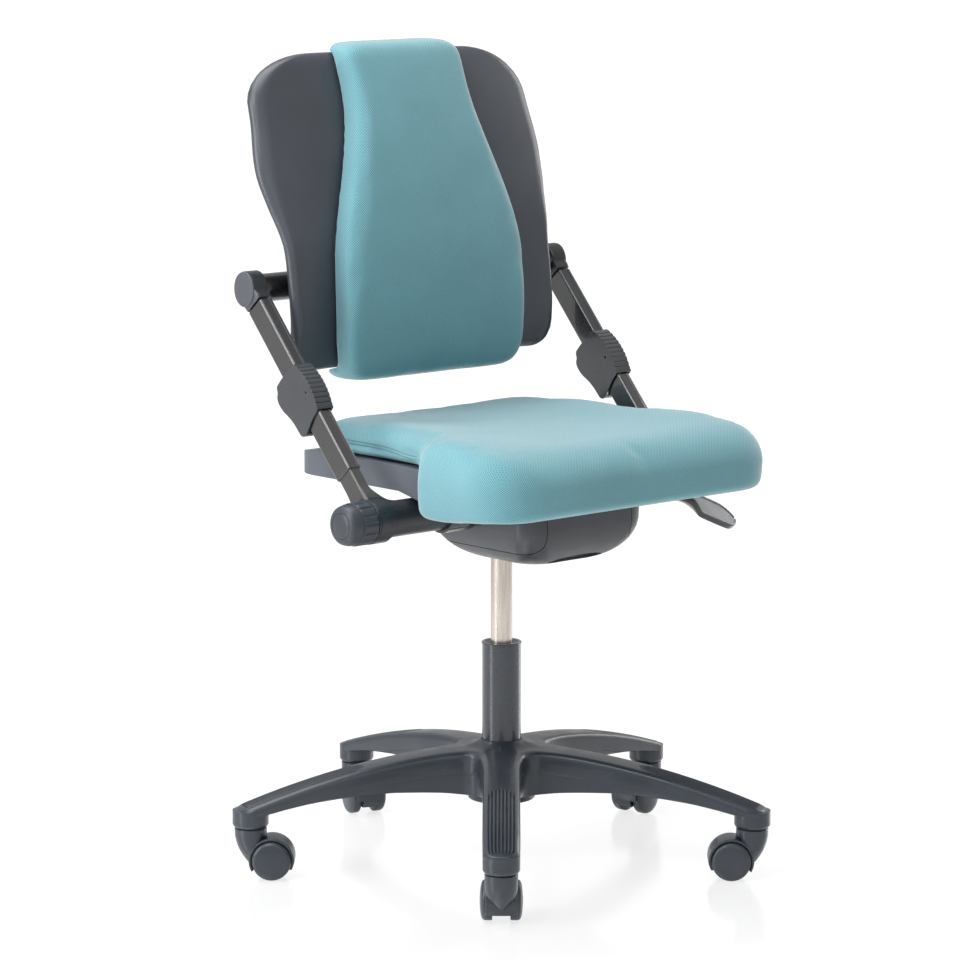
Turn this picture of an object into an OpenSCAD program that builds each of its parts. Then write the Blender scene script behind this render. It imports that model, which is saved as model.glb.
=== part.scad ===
// Office task chair: five-arm base on twin-wheel casters, gas column, rocking seat
// mechanism, seat with a cushion, and a backrest carried by two telescopic side bars.
// Front of the chair is -Y, the sitter's left is +X, and Z = 0 is the floor.

/* [Base and column] */
// Distance from the column to a caster stem
stem_radius = 335; // [300:1:350]
// Half width of a base arm
arm_half = 23.5; // [21:0.5:26]
// Height of the top of the hub
hub_top = 155; // [150:1:162]
// Radius of the outer column tube
column_radius = 25; // [24:0.5:26]
// Height of the top of the outer column tube
column_top = 285.5; // [270:0.5:300]
// Radius of the sliding pressure tube
pressure_radius = 14; // [13:0.5:15]

/* [Casters] */
// Radius of a caster wheel
wheel_radius = 25; // [22:0.5:26]
// Width of one caster wheel
wheel_width = 16; // [13:0.5:18]
// Trail of the axle behind the stem
caster_trail = 27; // [24:0.5:30]
// Radius of the caster stem
stem_pin_radius = 5.5; // [5:0.25:6]
// Radius of the caster axle
axle_radius = 4; // [3:0.25:5]

/* [Mechanism] */
// Distance of the rocking axis in front of the column
pivot_forward = 50; // [45:1:55]
// Height of the rocking axis
pivot_z = 477; // [474:1:482]
// Radius of the cross tube
cross_radius = 22.5; // [20:0.5:23.5]
// Half width of the mechanism housing
housing_half = 103; // [98:1:108]
// Wall of the housing
housing_wall = 3; // [2:0.5:4]

/* [Side bars] */
// Lean of the side bars behind the vertical
bar_lean = 41.7; // [40:0.1:44]
// Distance from the rocking axis to the upper pivot
bar_length = 358; // [345:1:380]
// Distance of a side bar's middle from the chair's middle
bar_offset = 256; // [255:1:262]
// Width of a sleeve
sleeve_width = 20; // [18:0.5:21]
// Depth of a sleeve, front to back
sleeve_depth = 32; // [29:0.5:33]
// Wall of a sleeve
sleeve_wall = 1.7; // [1.5:0.1:2.2]
// Radius of the rear crossbar
crossbar_radius = 18; // [16:0.5:18.5]

/* [Seat] */
// Half width of the front of the seat cushion
cushion_front_half = 238; // [225:1:240]
// Half width of the rear of the seat cushion
cushion_rear_half = 190; // [180:1:200]
// Front edge of the cushion, in front of the column
cushion_front = 278; // [265:1:290]
// Rear edge of the cushion, behind the column
cushion_rear = 160; // [150:1:165]
// Height of the top of the cushion
cushion_top = 573; // [568:1:585]
// Height of the top of the seat carrier
carrier_top = 510; // [508:1:511]

/* [Backrest] */
// Height of the dark back body above the upper pivot
back_rise = 289.7; // [260:0.1:315]
// Depth of the dark back body below the upper pivot
back_drop = 107.3; // [95:0.1:114]
// Half width of the backrest at the waist
back_waist_half = 222; // [210:1:226]
// Half width of the backrest at the shoulders
back_shoulder_half = 240; // [228:1:244]
// Half width of the centre pad at its widest
pad_half = 166; // [150:1:170]
// Half width of the centre pad at its top
pad_top_half = 100; // [92:1:120]
// Thickness of the centre pad in front of the back body
pad_proud = 21; // [16:0.5:26]

/* [Hidden] */

// Clearances
fit_gap = 0.05;      // round running and seating fits
slide_gap = 0.3;     // flat faces that slide or seat
soft_gap = 0.6;      // cushions on what carries them
swing_gap = 1;       // wheels in their hoods, tubes in cover holes

// Colours
plastic = "#3b4148";
dark_plastic = "#2c3036";
black_paint = "#1d1f22";
bar_metal = "#46494d";
steel = "#b9b2a8";
rubber = "#222426";
teal = "#4f9fae";
dark_foam = "#35383d";

// Base
arm_count = 5;
first_arm = -42;                       // direction of arm 1 from the front, towards +X
arm_root = 20;
arm_tip = stem_radius + arm_half - 4.5;
socket_bottom = 62;
socket_top = 92;
socket_radius = 23;
hub_bottom = 82;
drum_start = stem_radius - 26;         // where the underside drops to the socket's drum
rib_start = 185;
rib_end = stem_radius - 12;
rib_depth = 1.6;
bore_roof = 88;                        // top of the stem bore in a socket

// Casters
hood_gap = 0.3;
wheel_inner = 10.6;
wheel_outer = wheel_inner + wheel_width;
hood_inner = wheel_radius + swing_gap;
hood_outer = hood_inner + 3;
fender_half = wheel_outer - 7.1;       // the wheels' domed faces stand out of the fender
fender_low = 11.4;                     // end of the fender on the stem's side
neck_radius = 20.5;
hood_top = socket_bottom - 1.8;
web_bottom = 11;
caster_turn = [48, 138, 193, 250, -42];  // trailing direction of each caster, from +X

// Column
column_bottom = 84;
column_bore = 22;
rod_radius = 5;
bearing_top = 98;
rod_top = 282;
pressure_bottom = 225;
pressure_top = 450;
pressure_bore = 12;
bush_bottom = column_top - 62;

// Mechanism
pivot_y = -pivot_forward;
block_radius = 26;
block_half = 70;
bush_radius = cross_radius + 2;
taper_outer = 22;
housing_top = 484;
housing_bottom = 406;
housing_front = -165;
housing_rear = 34;
side_cover = 4;
corner_round = 31;                     // front corners of the housing, seen from above
nose_round = 52;                       // front lower edge of the housing
cover_edge = housing_half - corner_round;
cover_sill = housing_bottom + 20;
block_floor = housing_bottom + side_cover + housing_wall + slide_gap;

// Paddle
paddle_y = -128;
paddle_x = 84;
paddle_z = 472;
paddle_pin_radius = 3;
paddle_bend = 193;
paddle_reach = 113;
paddle_droop = 26;
paddle_half = 22;
paddle_neck = 5;                       // half width of the lever inside the housing
ear_width = 6.5;

// Side bars
tube_width = sleeve_width - 2 * sleeve_wall - 2 * slide_gap;
tube_depth = sleeve_depth - 2 * sleeve_wall - 2 * slide_gap;
tube_top = 200;
sleeve_bottom = 71;
collar_radius = cross_radius + 5;
collar_inner = bar_offset - 11;
collar_outer = bar_offset + 13;
cross_half = collar_outer - 7;
spigot_radius = 10;
spigot_end = collar_outer + 30;
knob_radius = 27;
knob_end = collar_outer + 42;
hub_radius = crossbar_radius + 5;
hub_inner = bar_offset - 19;
hub_outer = bar_offset + sleeve_width / 2;
crossbar_half = hub_outer - 4;
clamp_half = sleeve_width / 2 + 3;
clamp_side_gap = 0.5;
clamp_pin_along = 190;
clamp_pin_front = 8;
trunnion_radius = 3;
trunnion_length = 2;

// Seat
carrier_sheet = 4;
carrier_front = -150;
carrier_rear = 110;
carrier_half = 150;
rail_offset = 90;
rail_width = 14;
rail_height = 8;
saddle_inner = housing_half + 4;
saddle_outer = carrier_half;
pan_rear = cushion_rear + 12;
pan_rim = 508;
pan_half = cushion_rear_half + 16;
notch_middle = -82;
notch_length = 44;
rear_under = 547;
front_under = 528;
lobe_under = 490;
neck_half = 158;                       // half width of the pan between the front lobes
// Height of the cushion's underside along the middle, from the front
under_line = [[-cushion_front, lobe_under], [-250, lobe_under], [-236, lobe_under + 9], [-221, front_under - 9],
    [-205, front_under], [-60, front_under], [-33, front_under + 4], [-7, rear_under - 4], [20, rear_under],
    [cushion_rear + 20, rear_under]];

// Backrest, placed from the upper pivot at the bars' head
cap_z = pivot_z + bar_length * cos(bar_lean);
cap_y = pivot_y + bar_length * sin(bar_lean);
back_top = cap_z + back_rise;
back_bottom = cap_z - back_drop;
curve_base = cap_y - 57.15;
curve_rate = 0.0007;
curve_middle = cap_z - 29.3;
body_sheet = 15.4;
pad_top = back_top + 15;
pad_bottom = back_bottom - 19;
cover_low = cap_z + 37.7;
cover_low_half = 104;
cover_high_half = 118;
bracket_half = 84;
bracket_window_half = 40;
bracket_rise = 34;
bracket_drop = 52;

// Smooth step from 0 to 1
function ease(t) = let (c = min(1, max(0, t))) c * c * (3 - 2 * c);

// Inset of an end that is rounded over length l with depth h, at distance d from the end
function rounding(d, l, h) = d >= l ? 0 : h * (1 - sqrt(max(0, 1 - pow((l - d) / l, 2))));

// Points of an arc
function arc(cx, cy, r, from, to, steps) =
    [for (i = [0 : steps]) let (a = from + (to - from) * i / steps) [cx + r * cos(a), cy + r * sin(a)]];

// Rounded rectangle about the origin
function round_box(w, d, r) = concat(
    arc(w / 2 - r, d / 2 - r, r, 0, 90, 5), arc(-w / 2 + r, d / 2 - r, r, 90, 180, 5),
    arc(-w / 2 + r, -d / 2 + r, r, 180, 270, 5), arc(w / 2 - r, -d / 2 + r, r, 270, 360, 5));

// Mirrors a half ring of [x, value] points into a full ring
function full_ring(half) = concat(half, [for (i = [len(half) - 2 : -1 : 1]) [-half[i][0], half[i][1]]]);

// Triangles across a ring of n points, in the ring's order: rungs between its first half and its second
function ring_rungs(n) = let (half = n / 2) [for (j = [0 : floor(half / 2) - 1],
    t = j + 1 < half - j - 1 ? [[j, j + 1, half - j - 1], [j, half - j - 1, half - j]] : [[j, j + 1, half - j]],
    side = [0, 1])
    side == 0 ? t : [(n - t[2]) % n, (n - t[1]) % n, (n - t[0]) % n]];

// Closed skin through rings that all have the same, even number of points
module loft(rings, flip = false) {
    n = len(rings[0]);
    m = len(rings);
    points = [for (ring = rings, p = ring) p];
    sides = [for (i = [0 : m - 2], j = [0 : n - 1], k = [0, 1])
        let (a = i * n + j, b = i * n + (j + 1) % n)
        k == 0 ? [a, b, b + n] : [a, b + n, a + n]];
    ends = concat(
        [for (t = ring_rungs(n)) [t[2], t[1], t[0]]],
        [for (t = ring_rungs(n)) [for (i = t) i + (m - 1) * n]]);
    faces = concat(sides, ends);
    polyhedron(points, flip ? [for (f = faces) [f[2], f[1], f[0]]] : faces);
}

// Extrudes a Y-Z outline along X
module along_x(from, to) {
    translate([from, 0, 0]) rotate([90, 0, 90]) linear_extrude(to - from) children();
}

// Extrudes an X-Z outline along Y
module along_y(from, to) {
    translate([0, to, 0]) rotate([90, 0, 0]) linear_extrude(to - from) children();
}

// Cylinder along X about the local origin
module rod_x(r, from, to) {
    translate([from, 0, 0]) rotate([0, 90, 0]) cylinder(r = r, h = to - from, $fn = 96);
}

module ring_x(r_out, r_in, from, to) {
    difference() {
        rod_x(r_out, from, to);
        rod_x(r_in, from - 1, to + 1);
    }
}

// Places children about the rocking axis
module at_pivot() {
    translate([0, pivot_y, pivot_z]) children();
}

// Local frame of a side bar: Z runs up the bar, -Y is its front; side is 1 for the sitter's left
module on_bar(side) {
    mirror([side < 0 ? 1 : 0, 0, 0]) at_pivot() rotate([-bar_lean, 0, 0]) children();
}

module both_sides() {
    children();
    mirror([1, 0, 0]) children();
}

// Height of the top face of a base arm at distance r
function arm_crest(r) = hub_top - 4 - 57 * pow((r - arm_root) / (arm_tip - arm_root), 1.75);
// Lower edge of the arm's upper body
function arm_crease(r) = max(arm_floor(r) + 3, arm_crest(r) - 37 + 4 * ease((r - 100) / 200));
function arm_floor(r) = hub_bottom + 3 + 5 * sin(180 * min(1, (r - arm_root) / 280))
    - 19 * ease((r - drum_start) / 13);
// Half width of an arm, flared into the webs by the hub
function arm_side(r) = arm_half + 19 * pow(1 - min(1, (r - arm_root) / 105), 2.6)
    - rounding(arm_tip - r, 22, 11);

// Drop of the foot rest's grooves, which are every second point across the arm's top
function rib_drop(i, r) = (i % 2 == 1 && r > rib_start && r < rib_end)
    ? rib_depth * ease((r - rib_start) / 6) : 0;

function arm_ring(r) =
    let (w = arm_side(r), top = arm_crest(r) - rounding(arm_tip - r, 14, 10),
         crease = arm_crease(r), floor = arm_floor(r), skirt = w - 3.2,
         crown = [for (i = [0 : 6]) let (u = 0.12 * i) [u * w, top - rib_drop(i, r) - 1.2 * u * u]],
         half = concat(crown,
             [[0.86 * w, top - 2], [0.95 * w, top - 4.5], [w, top - 10], [w, crease],
              [skirt, crease - 1], [skirt - 0.6, floor + 2], [skirt - 3, floor], [0, floor]]))
    [for (p = full_ring(half)) [r, p[0], p[1]]];

arm_stations = [arm_root, 32, 46, 62, 85, 115, 150, rib_start - 1, rib_start + 6,
    225, 265, drum_start, rib_end - 1, rib_end + 1, arm_tip - 14, arm_tip - 5, arm_tip - 1, arm_tip];

module base_arm() {
    loft([for (r = arm_stations) arm_ring(r)]);
    translate([stem_radius, 0, socket_bottom])
        cylinder(r = socket_radius, h = socket_top - socket_bottom - 10, $fn = 72);
}

// Hollow under an arm between its walls, crossed by ribs
module arm_hollow() {
    for (from = [52, 105, 158, 211])
        translate([from, 0, 0]) rotate([90, 0, 0])
            linear_extrude(2 * (arm_half - 9), center = true)
                polygon([[0, 60], [48, 60], [48, arm_crest(from + 48) - 9], [0, arm_crest(from) - 9]]);
}

module star_base() {
    color(plastic) difference() {
        union() {
            for (k = [0 : arm_count - 1])
                rotate(arm_angle(k)) base_arm();
            rotate_extrude($fn = 96)
                polygon(concat([[0, hub_bottom], [44, hub_bottom], [42, 120]],
                    arc(52, hub_top + 3, 25, 215, 187, 5), [[0, hub_top]]));
        }
        for (k = [0 : arm_count - 1])
            rotate(arm_angle(k)) {
                arm_hollow();
                translate([stem_radius, 0, socket_bottom - 1])
                    cylinder(r = stem_pin_radius + fit_gap, h = bore_roof - socket_bottom + 1, $fn = 48);
            }
        translate([0, 0, hub_bottom - 20])
            cylinder(r = column_radius + fit_gap, h = hub_top - hub_bottom + 40, $fn = 96);
    }
}

// Angle of arm k from +X
function arm_angle(k) = -90 + first_arm + k * 360 / arm_count;

module column_tube() {
    color(dark_plastic) rotate_extrude($fn = 96)
        polygon([[rod_radius + fit_gap, column_bottom], [column_radius, column_bottom],
            [column_radius, column_top - 3], [column_radius + 0.8, column_top - 2.4],
            [column_radius + 0.8, column_top - 0.6], [column_radius, column_top],
            [column_bore, column_top], [column_bore, column_bottom + 6],
            [rod_radius + fit_gap, column_bottom + 6]]);
}

// Steel ring under the hub that holds the column down
module column_ring() {
    color(steel) translate([0, 0, column_bottom - 5.6]) difference() {
        cylinder(r = 30, h = 3.5, $fn = 72);
        translate([0, 0, -1]) cylinder(r = rod_radius + fit_gap, h = 6, $fn = 48);
    }
}

module guide_bush() {
    color(dark_plastic) translate([0, 0, bush_bottom]) difference() {
        cylinder(r = column_bore - fit_gap, h = column_top - bush_bottom, $fn = 72);
        translate([0, 0, -1])
            cylinder(r = pressure_radius + fit_gap, h = column_top - bush_bottom + 2, $fn = 72);
    }
}

// Rod that stands on the base and carries the pressure tube's piston
module piston_rod() {
    color(steel) {
        translate([0, 0, column_bottom - 6]) cylinder(r = rod_radius, h = rod_top - column_bottom, $fn = 48);
        translate([0, 0, rod_top - 12]) cylinder(r = pressure_bore - fit_gap, h = 10, $fn = 72);
    }
}

module thrust_bearing() {
    color(steel) translate([0, 0, column_bottom + 6 + slide_gap]) difference() {
        cylinder(r = 14, h = bearing_top - column_bottom - 6, $fn = 72);
        translate([0, 0, -1]) cylinder(r = rod_radius + fit_gap, h = bearing_top, $fn = 48);
    }
}

// Sliding tube with a closed top and an in-turned seal at its foot
module pressure_tube() {
    color(steel) rotate_extrude($fn = 96)
        polygon([[rod_radius + fit_gap, pressure_bottom], [pressure_radius, pressure_bottom],
            [pressure_radius, pressure_top], [0, pressure_top], [0, pressure_top - 5],
            [pressure_bore, pressure_top - 5], [pressure_bore, pressure_bottom + 12],
            [rod_radius + fit_gap, pressure_bottom + 12]]);
}

// Cast block: taper socket for the column, bearing for the cross tube
module mechanism_block() {
    color(bar_metal) difference() {
        union() {
            translate([0, 0, block_floor]) cylinder(r = taper_outer, h = 50, $fn = 72);
            at_pivot() rod_x(block_radius, -block_half, block_half);
            along_x(-18, 18)
                polygon([[pivot_y, pivot_z - block_radius], [pivot_y + 14, pivot_z + 10],
                    [14, 458], [14, 436], [-36, block_floor + 1]]);
            for (x = [-46, 32])
                along_x(x, x + 14)
                    polygon([[pivot_y - 20, pivot_z - 10], [pivot_y + 20, pivot_z - 10],
                        [-36, block_floor + 3], [-90, block_floor + 3]]);
            translate([-46, -94, block_floor]) cube([92, 60, 5]);
        }
        translate([0, 0, housing_bottom - 10])
            cylinder(r = pressure_radius + fit_gap, h = pressure_top + slide_gap - housing_bottom + 10, $fn = 72);
        at_pivot() rod_x(bush_radius + fit_gap, -block_half - 1, block_half + 1);
    }
}

module pivot_bushes() {
    color("ivory") at_pivot() both_sides()
        ring_x(bush_radius, cross_radius + fit_gap, block_half - 28, block_half);
}

// Rubber sleeve that twists and brings the seat back to level
module torsion_sleeve() {
    color(rubber) at_pivot()
        ring_x(bush_radius, cross_radius + fit_gap, -(block_half - 28 - slide_gap), block_half - 28 - slide_gap);
}

// Side outline of the housing, drawn smaller by d
module housing_side_outline(d) {
    front = housing_front + d;
    rear = housing_rear - d;
    bottom = housing_bottom + d;
    polygon(concat(
        [[rear, housing_top + (d > 0 ? 1 : 0)], [front, housing_top + (d > 0 ? 1 : 0)]],
        arc(front + nose_round, bottom + nose_round, nose_round, 180, 270, 10),
        arc(rear - 60, bottom + 60, 60, 270, 360, 8)));
}

module housing_front_outline(d) {
    half = housing_half - d;
    bottom = housing_bottom + d - 1;
    polygon(concat(
        [[half, housing_top + (d > 0 ? 1 : 0)], [-half, housing_top + (d > 0 ? 1 : 0)]],
        arc(-half + 60, bottom + 60, 60, 188, 265, 8),
        arc(half - 60, bottom + 60, 60, 275, 352, 8)));
}

module housing_plan_outline(d) {
    half = housing_half - d;
    front = housing_front + d;
    rear = housing_rear - d;
    polygon(concat(
        arc(half - corner_round, front + corner_round, corner_round, 0, -90, 8),
        arc(-half + corner_round, front + corner_round, corner_round, 270, 180, 8),
        arc(-half + 16, rear - 16, 16, 180, 90, 5), arc(half - 16, rear - 16, 16, 90, 0, 5)));
}

module housing_form(d) {
    intersection() {
        along_x(-housing_half, housing_half) housing_side_outline(d);
        along_y(housing_front, housing_rear) housing_front_outline(d);
        translate([0, 0, housing_bottom - 5]) linear_extrude(housing_top - housing_bottom + 6)
            housing_plan_outline(d);
    }
}

// Region of a side cover: outside the corner band and above the sill
module side_cover_region(gap) {
    edge = cover_edge + gap;
    sill = cover_sill + gap;
    both_sides() along_y(housing_front - 1, housing_rear + 1) polygon(concat(
        [[housing_half + 1, housing_top + 2], [edge, housing_top + 2]],
        arc(edge + 18, sill + 18, 18, 180, 270, 6), [[housing_half + 1, sill]]));
}

// Shallow oval grip hollow in the lower front edge
module grip_hollow() {
    lean = 26;
    translate([2, housing_front + nose_round * (1 - sin(lean)), housing_bottom + nose_round * (1 - cos(lean))])
        rotate([-lean, 0, 0]) translate([0, 0, -10]) linear_extrude(14.5)
            polygon([for (a = [0 : 10 : 350]) [46 * cos(a), 13 * sin(a)]]);
}

// Notches in the top edge, where the levers' cables pass
module edge_notches() {
    for (y = [-78, -140])
        translate([-housing_half - 1, y, housing_top + 4]) rotate([0, 90, 0]) cylinder(r = 11, h = 24, $fn = 48);
}

module housing_tray() {
    color(plastic) {
        difference() {
            union() {
                difference() {
                    housing_form(0);
                    side_cover_region(0);
                }
                // wall behind the side covers
                housing_form(side_cover);
            }
            housing_form(side_cover + housing_wall);
            translate([0, 0, housing_bottom - 1]) cylinder(r = taper_outer + swing_gap, h = 56, $fn = 72);
            at_pivot() rod_x(cross_radius + swing_gap, -housing_half - 1, housing_half + 1);
            paddle_slot();
            grip_hollow();
            edge_notches();
        }
        paddle_ears();
    }
}

// Slot in the left wall that lets the lever swing
module paddle_slot() {
    half = paddle_neck + 2.5;
    translate([housing_half - 25, paddle_y - half, paddle_z - 6]) cube([40, 2 * half, 40]);
}

// Two ears on the inside of the left wall that hold the lever's pin
module paddle_ears() {
    difference() {
        intersection() {
            housing_form(side_cover + housing_wall / 2);
            for (y = [paddle_y - paddle_neck - slide_gap - ear_width, paddle_y + paddle_neck + slide_gap])
                translate([paddle_x - 8, y, paddle_z - 8]) cube([60, ear_width, 16]);
        }
        paddle_pin_hole(0);
    }
}

module paddle_pin_hole(gap) {
    reach = paddle_neck + slide_gap + ear_width + 1;
    translate([paddle_x, paddle_y + reach, paddle_z]) rotate([90, 0, 0])
        cylinder(r = paddle_pin_radius + gap, h = 2 * reach, $fn = 48);
}

module housing_side_cover() {
    difference() {
        intersection() {
            housing_form(0);
            side_cover_region(slide_gap);
        }
        housing_form(side_cover - slide_gap);
        at_pivot() rod_x(cross_radius + swing_gap, -housing_half - 1, housing_half + 1);
        paddle_slot();
        edge_notches();
    }
}

module half_space_x(side) {
    intersection() {
        children();
        translate([side > 0 ? 0 : -400, -400, 300]) cube([400, 800, 300]);
    }
}

module housing_side_left() { color(plastic) half_space_x(1) housing_side_cover(); }
module housing_side_right() { color(plastic) half_space_x(-1) housing_side_cover(); }

// Bent lever with a broad drooping blade
module height_paddle() {
    color(dark_plastic) difference() {
        translate([0, paddle_y, paddle_z]) {
            translate([paddle_x, paddle_neck, 0]) rotate([90, 0, 0])
                cylinder(r = 6, h = 2 * paddle_neck, $fn = 48);
            translate([paddle_x, -paddle_neck, -2.5]) cube([paddle_bend - paddle_x, 2 * paddle_neck, 5]);
            translate([paddle_bend, 0, 0]) rotate([0, paddle_droop, 0])
                translate([0, 0, -3]) linear_extrude(6) polygon(concat(
                    arc(paddle_reach - paddle_half, 0, paddle_half, -80, 80, 12),
                    arc(12, 0, 14, 110, 250, 8)));
        }
        paddle_pin_hole(fit_gap);
    }
}

// Pin in the tray's ears that carries the paddle
module paddle_pin() {
    reach = paddle_neck + slide_gap + ear_width;
    color(steel) translate([paddle_x, paddle_y + reach, paddle_z]) rotate([90, 0, 0])
        cylinder(r = paddle_pin_radius - fit_gap / 5, h = 2 * reach, $fn = 48);
}

module cross_tube() {
    color(plastic) at_pivot() ring_x(cross_radius, cross_radius - 3, -cross_half, cross_half);
}

// Collar on the cross tube with the lower tube of a side bar and a curved gusset
module elbow(side) {
    color(plastic) on_bar(side) difference() {
        union() {
            rod_x(collar_radius, collar_inner, collar_outer);
            rod_x(spigot_radius, collar_outer - 1, spigot_end);
            translate([bar_offset, 0, 18]) linear_extrude(tube_top - 18)
                polygon(round_box(tube_width, tube_depth, 3));
            // curved gusset between the bar and the cross tube
            along_y(-tube_depth / 2 + 2, tube_depth / 2 - 2)
                polygon(concat([[bar_offset, 12], [bar_offset - 34, 12]],
                    arc(bar_offset - tube_width / 2 - 26, 50, 27, 270, 360, 8),
                    [[bar_offset, 56]]));
        }
        rod_x(cross_radius + fit_gap, 0, cross_half + slide_gap);
        translate([bar_offset, 0, 36]) linear_extrude(tube_top)
            polygon(round_box(tube_width - 4, tube_depth - 4, 2));
    }
}

module elbow_left() { elbow(1); }
module elbow_right() { elbow(-1); }

// Adjusting knob: fluted band by the collar and a domed end
module knob(side) {
    flute_count = 20;
    color(dark_plastic) on_bar(side) difference() {
        translate([collar_outer + slide_gap, 0, 0]) rotate([0, 90, 0])
            rotate_extrude($fn = 96) polygon(concat(
                [[0, 0], [knob_radius - 1, 0], [knob_radius, 1], [knob_radius, 18],
                 [knob_radius - 1, 19], [knob_radius - 1, knob_end - collar_outer - 12]],
                arc(knob_radius - 12, knob_end - collar_outer - 12, 11, 15, 90, 5),
                [[0, knob_end - collar_outer + 1]]));
        for (k = [0 : flute_count - 1])
            rotate([360 * k / flute_count, 0, 0])
                translate([collar_outer - 1, 0, knob_radius + 1.6]) rotate([0, 90, 0])
                    cylinder(r = 2.6, h = 19, $fn = 32);
        rod_x(spigot_radius + fit_gap, collar_outer - 1, spigot_end + slide_gap);
    }
}

module knob_left() { knob(1); }
module knob_right() { knob(-1); }

// Plate on two saddles over the cross tube, with the rails that the seat slides on
module seat_carrier() {
    plate_bottom = carrier_top - carrier_sheet;
    color(bar_metal) difference() {
        union() {
            translate([-carrier_half, carrier_front, plate_bottom])
                cube([2 * carrier_half, carrier_rear - carrier_front, carrier_sheet]);
            both_sides() {
                at_pivot() rod_x(cross_radius + 4.5, saddle_inner, saddle_outer);
                translate([saddle_inner, pivot_y - 27, pivot_z])
                    cube([saddle_outer - saddle_inner, 54, plate_bottom - pivot_z + 1]);
                translate([rail_offset - rail_width / 2, carrier_front, carrier_top - 1])
                    cube([rail_width, carrier_rear - carrier_front, rail_height + 1]);
            }
        }
        at_pivot() rod_x(cross_radius + fit_gap, -saddle_outer - 1, saddle_outer + 1);
        // lightening windows
        for (y = [10, 62], x = [-60, 12])
            translate([x, y, plate_bottom - 1]) cube([48, 36, carrier_sheet + 2]);
    }
}

// Height of the cushion's underside, which is also the pan's top
function under_z(y) = lookup(y, under_line);

// Half width of the seat cushion in plan
function seat_half(y) =
    cushion_rear_half + (cushion_front_half - cushion_rear_half) * ease((notch_middle + notch_length / 2 - y) / notch_length)
    - rounding(y + cushion_front, 72, 92)
    - rounding(cushion_rear - y, 42, 52);

// Dished moulding under the cushion: skirt at the rear, channels over the carrier's rails
module seat_pan() {
    sheet = 5;
    front = -cushion_front + 40;
    rows = concat([front], [for (p = under_line) if (p[0] > front && p[0] < pan_rear) p[0]], [pan_rear]);
    color(plastic) difference() {
        union() {
            intersection() {
                along_x(-pan_half, pan_half) polygon(concat(
                    [for (y = rows) [y, under_z(y) - soft_gap]],
                    [for (i = [len(rows) - 1 : -1 : 0]) [rows[i], under_z(rows[i]) - soft_gap - sheet]]));
                translate([0, 0, 400]) linear_extrude(200) pan_plan(0);
            }
            // rear skirt with a drawn-in foot
            difference() {
                intersection() {
                    along_x(-pan_half, pan_half) polygon(concat(
                        [[-62, pan_rim - 7], [-37, pan_rim]], [[pan_rear, pan_rim]],
                        [for (y = [pan_rear, 20, -7, -33, -62]) [y, under_z(y) - soft_gap - 1]]));
                    translate([0, 0, 400]) linear_extrude(200) pan_plan(0);
                }
                translate([0, 0, 400]) linear_extrude(200) pan_plan(4);
            }
            both_sides() along_x(rail_offset - rail_width / 2 - 5, rail_offset + rail_width / 2 + 5)
                polygon(concat([[carrier_rear + 30, carrier_top + 1], [front + 60, carrier_top + 1]],
                    [for (y = [front + 60, -60, -33, -7, 20, carrier_rear + 30]) [y, under_z(y) - soft_gap - 2]]));
        }
        both_sides() translate([rail_offset - rail_width / 2 - slide_gap, -400, 400])
            cube([rail_width + 2 * slide_gap, 800, carrier_top + rail_height + slide_gap - 400]);
    }
}

// Outline of the pan from above, smaller by d
module pan_plan(d) {
    half = pan_half - d;
    rear = pan_rear - d;
    front = -cushion_front + 40 + d;
    neck = neck_half - d;
    polygon(concat(
        arc(half - 40, rear - 40, 40, 0, 90, 8), arc(-half + 40, rear - 40, 40, 90, 180, 8),
        [[-half, -57], [-neck, -60]], arc(-neck + 24, front + 24, 24, 180, 270, 6),
        arc(neck - 24, front + 24, 24, 270, 360, 6), [[neck, -60], [half, -57]]));
}

// Crowned cushion: thin rear, deep rounded front that folds over the pan's edge
function cushion_ring(y) =
    let (w = seat_half(y),
         top = cushion_top - rounding(y + cushion_front, 85, 50) - rounding(cushion_rear - y, 24, 10),
         lobe = ease((notch_middle + 22 - y) / 40),
         low = under_z(y) - (under_z(y) - lobe_under) * lobe + rounding(y + cushion_front, 36, 24),
         inner = max(under_z(y), low),
         girth = low + (top - low) * 0.45,
         dish = 4 * ease((cushion_rear - y) / 60) * ease((y + cushion_front) / 90),
         lip = w - 20 - 26 * lobe,
         half = [[0, top - dish], [0.3 * w, top - 0.8 * dish], [0.55 * w, top - 0.3 * dish],
             [0.72 * w, top], [w - 34, top - 0.5], [w - 20, top - (top - girth) * 0.13],
             [w - 9, top - (top - girth) * 0.36], [w - 2.5, top - (top - girth) * 0.68], [w, girth],
             [w - 2, low + (girth - low) * 0.45], [w - 8, low + (girth - low) * 0.12], [w - 17, low],
             [lip, low], [lip - 3 - 5 * lobe, inner], [0.35 * w, inner], [0, inner]])
    [for (p = full_ring(half)) [p[0], y, p[1]]];

module seat_cushion() {
    stations = concat(
        [for (a = [0, 15, 30]) -cushion_front + 85 * (1 - cos(a))],
        [-250, -236, -221, -205, -175, -140, -118, -106, -96, -86, -76, -66],
        [-60, -33, -7, 20, 70, 110],
        [for (a = [60 : -20 : 0]) cushion_rear - 42 * (1 - cos(a))]);
    color(teal) loft([for (y = stations) cushion_ring(y)], true);
}

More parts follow.
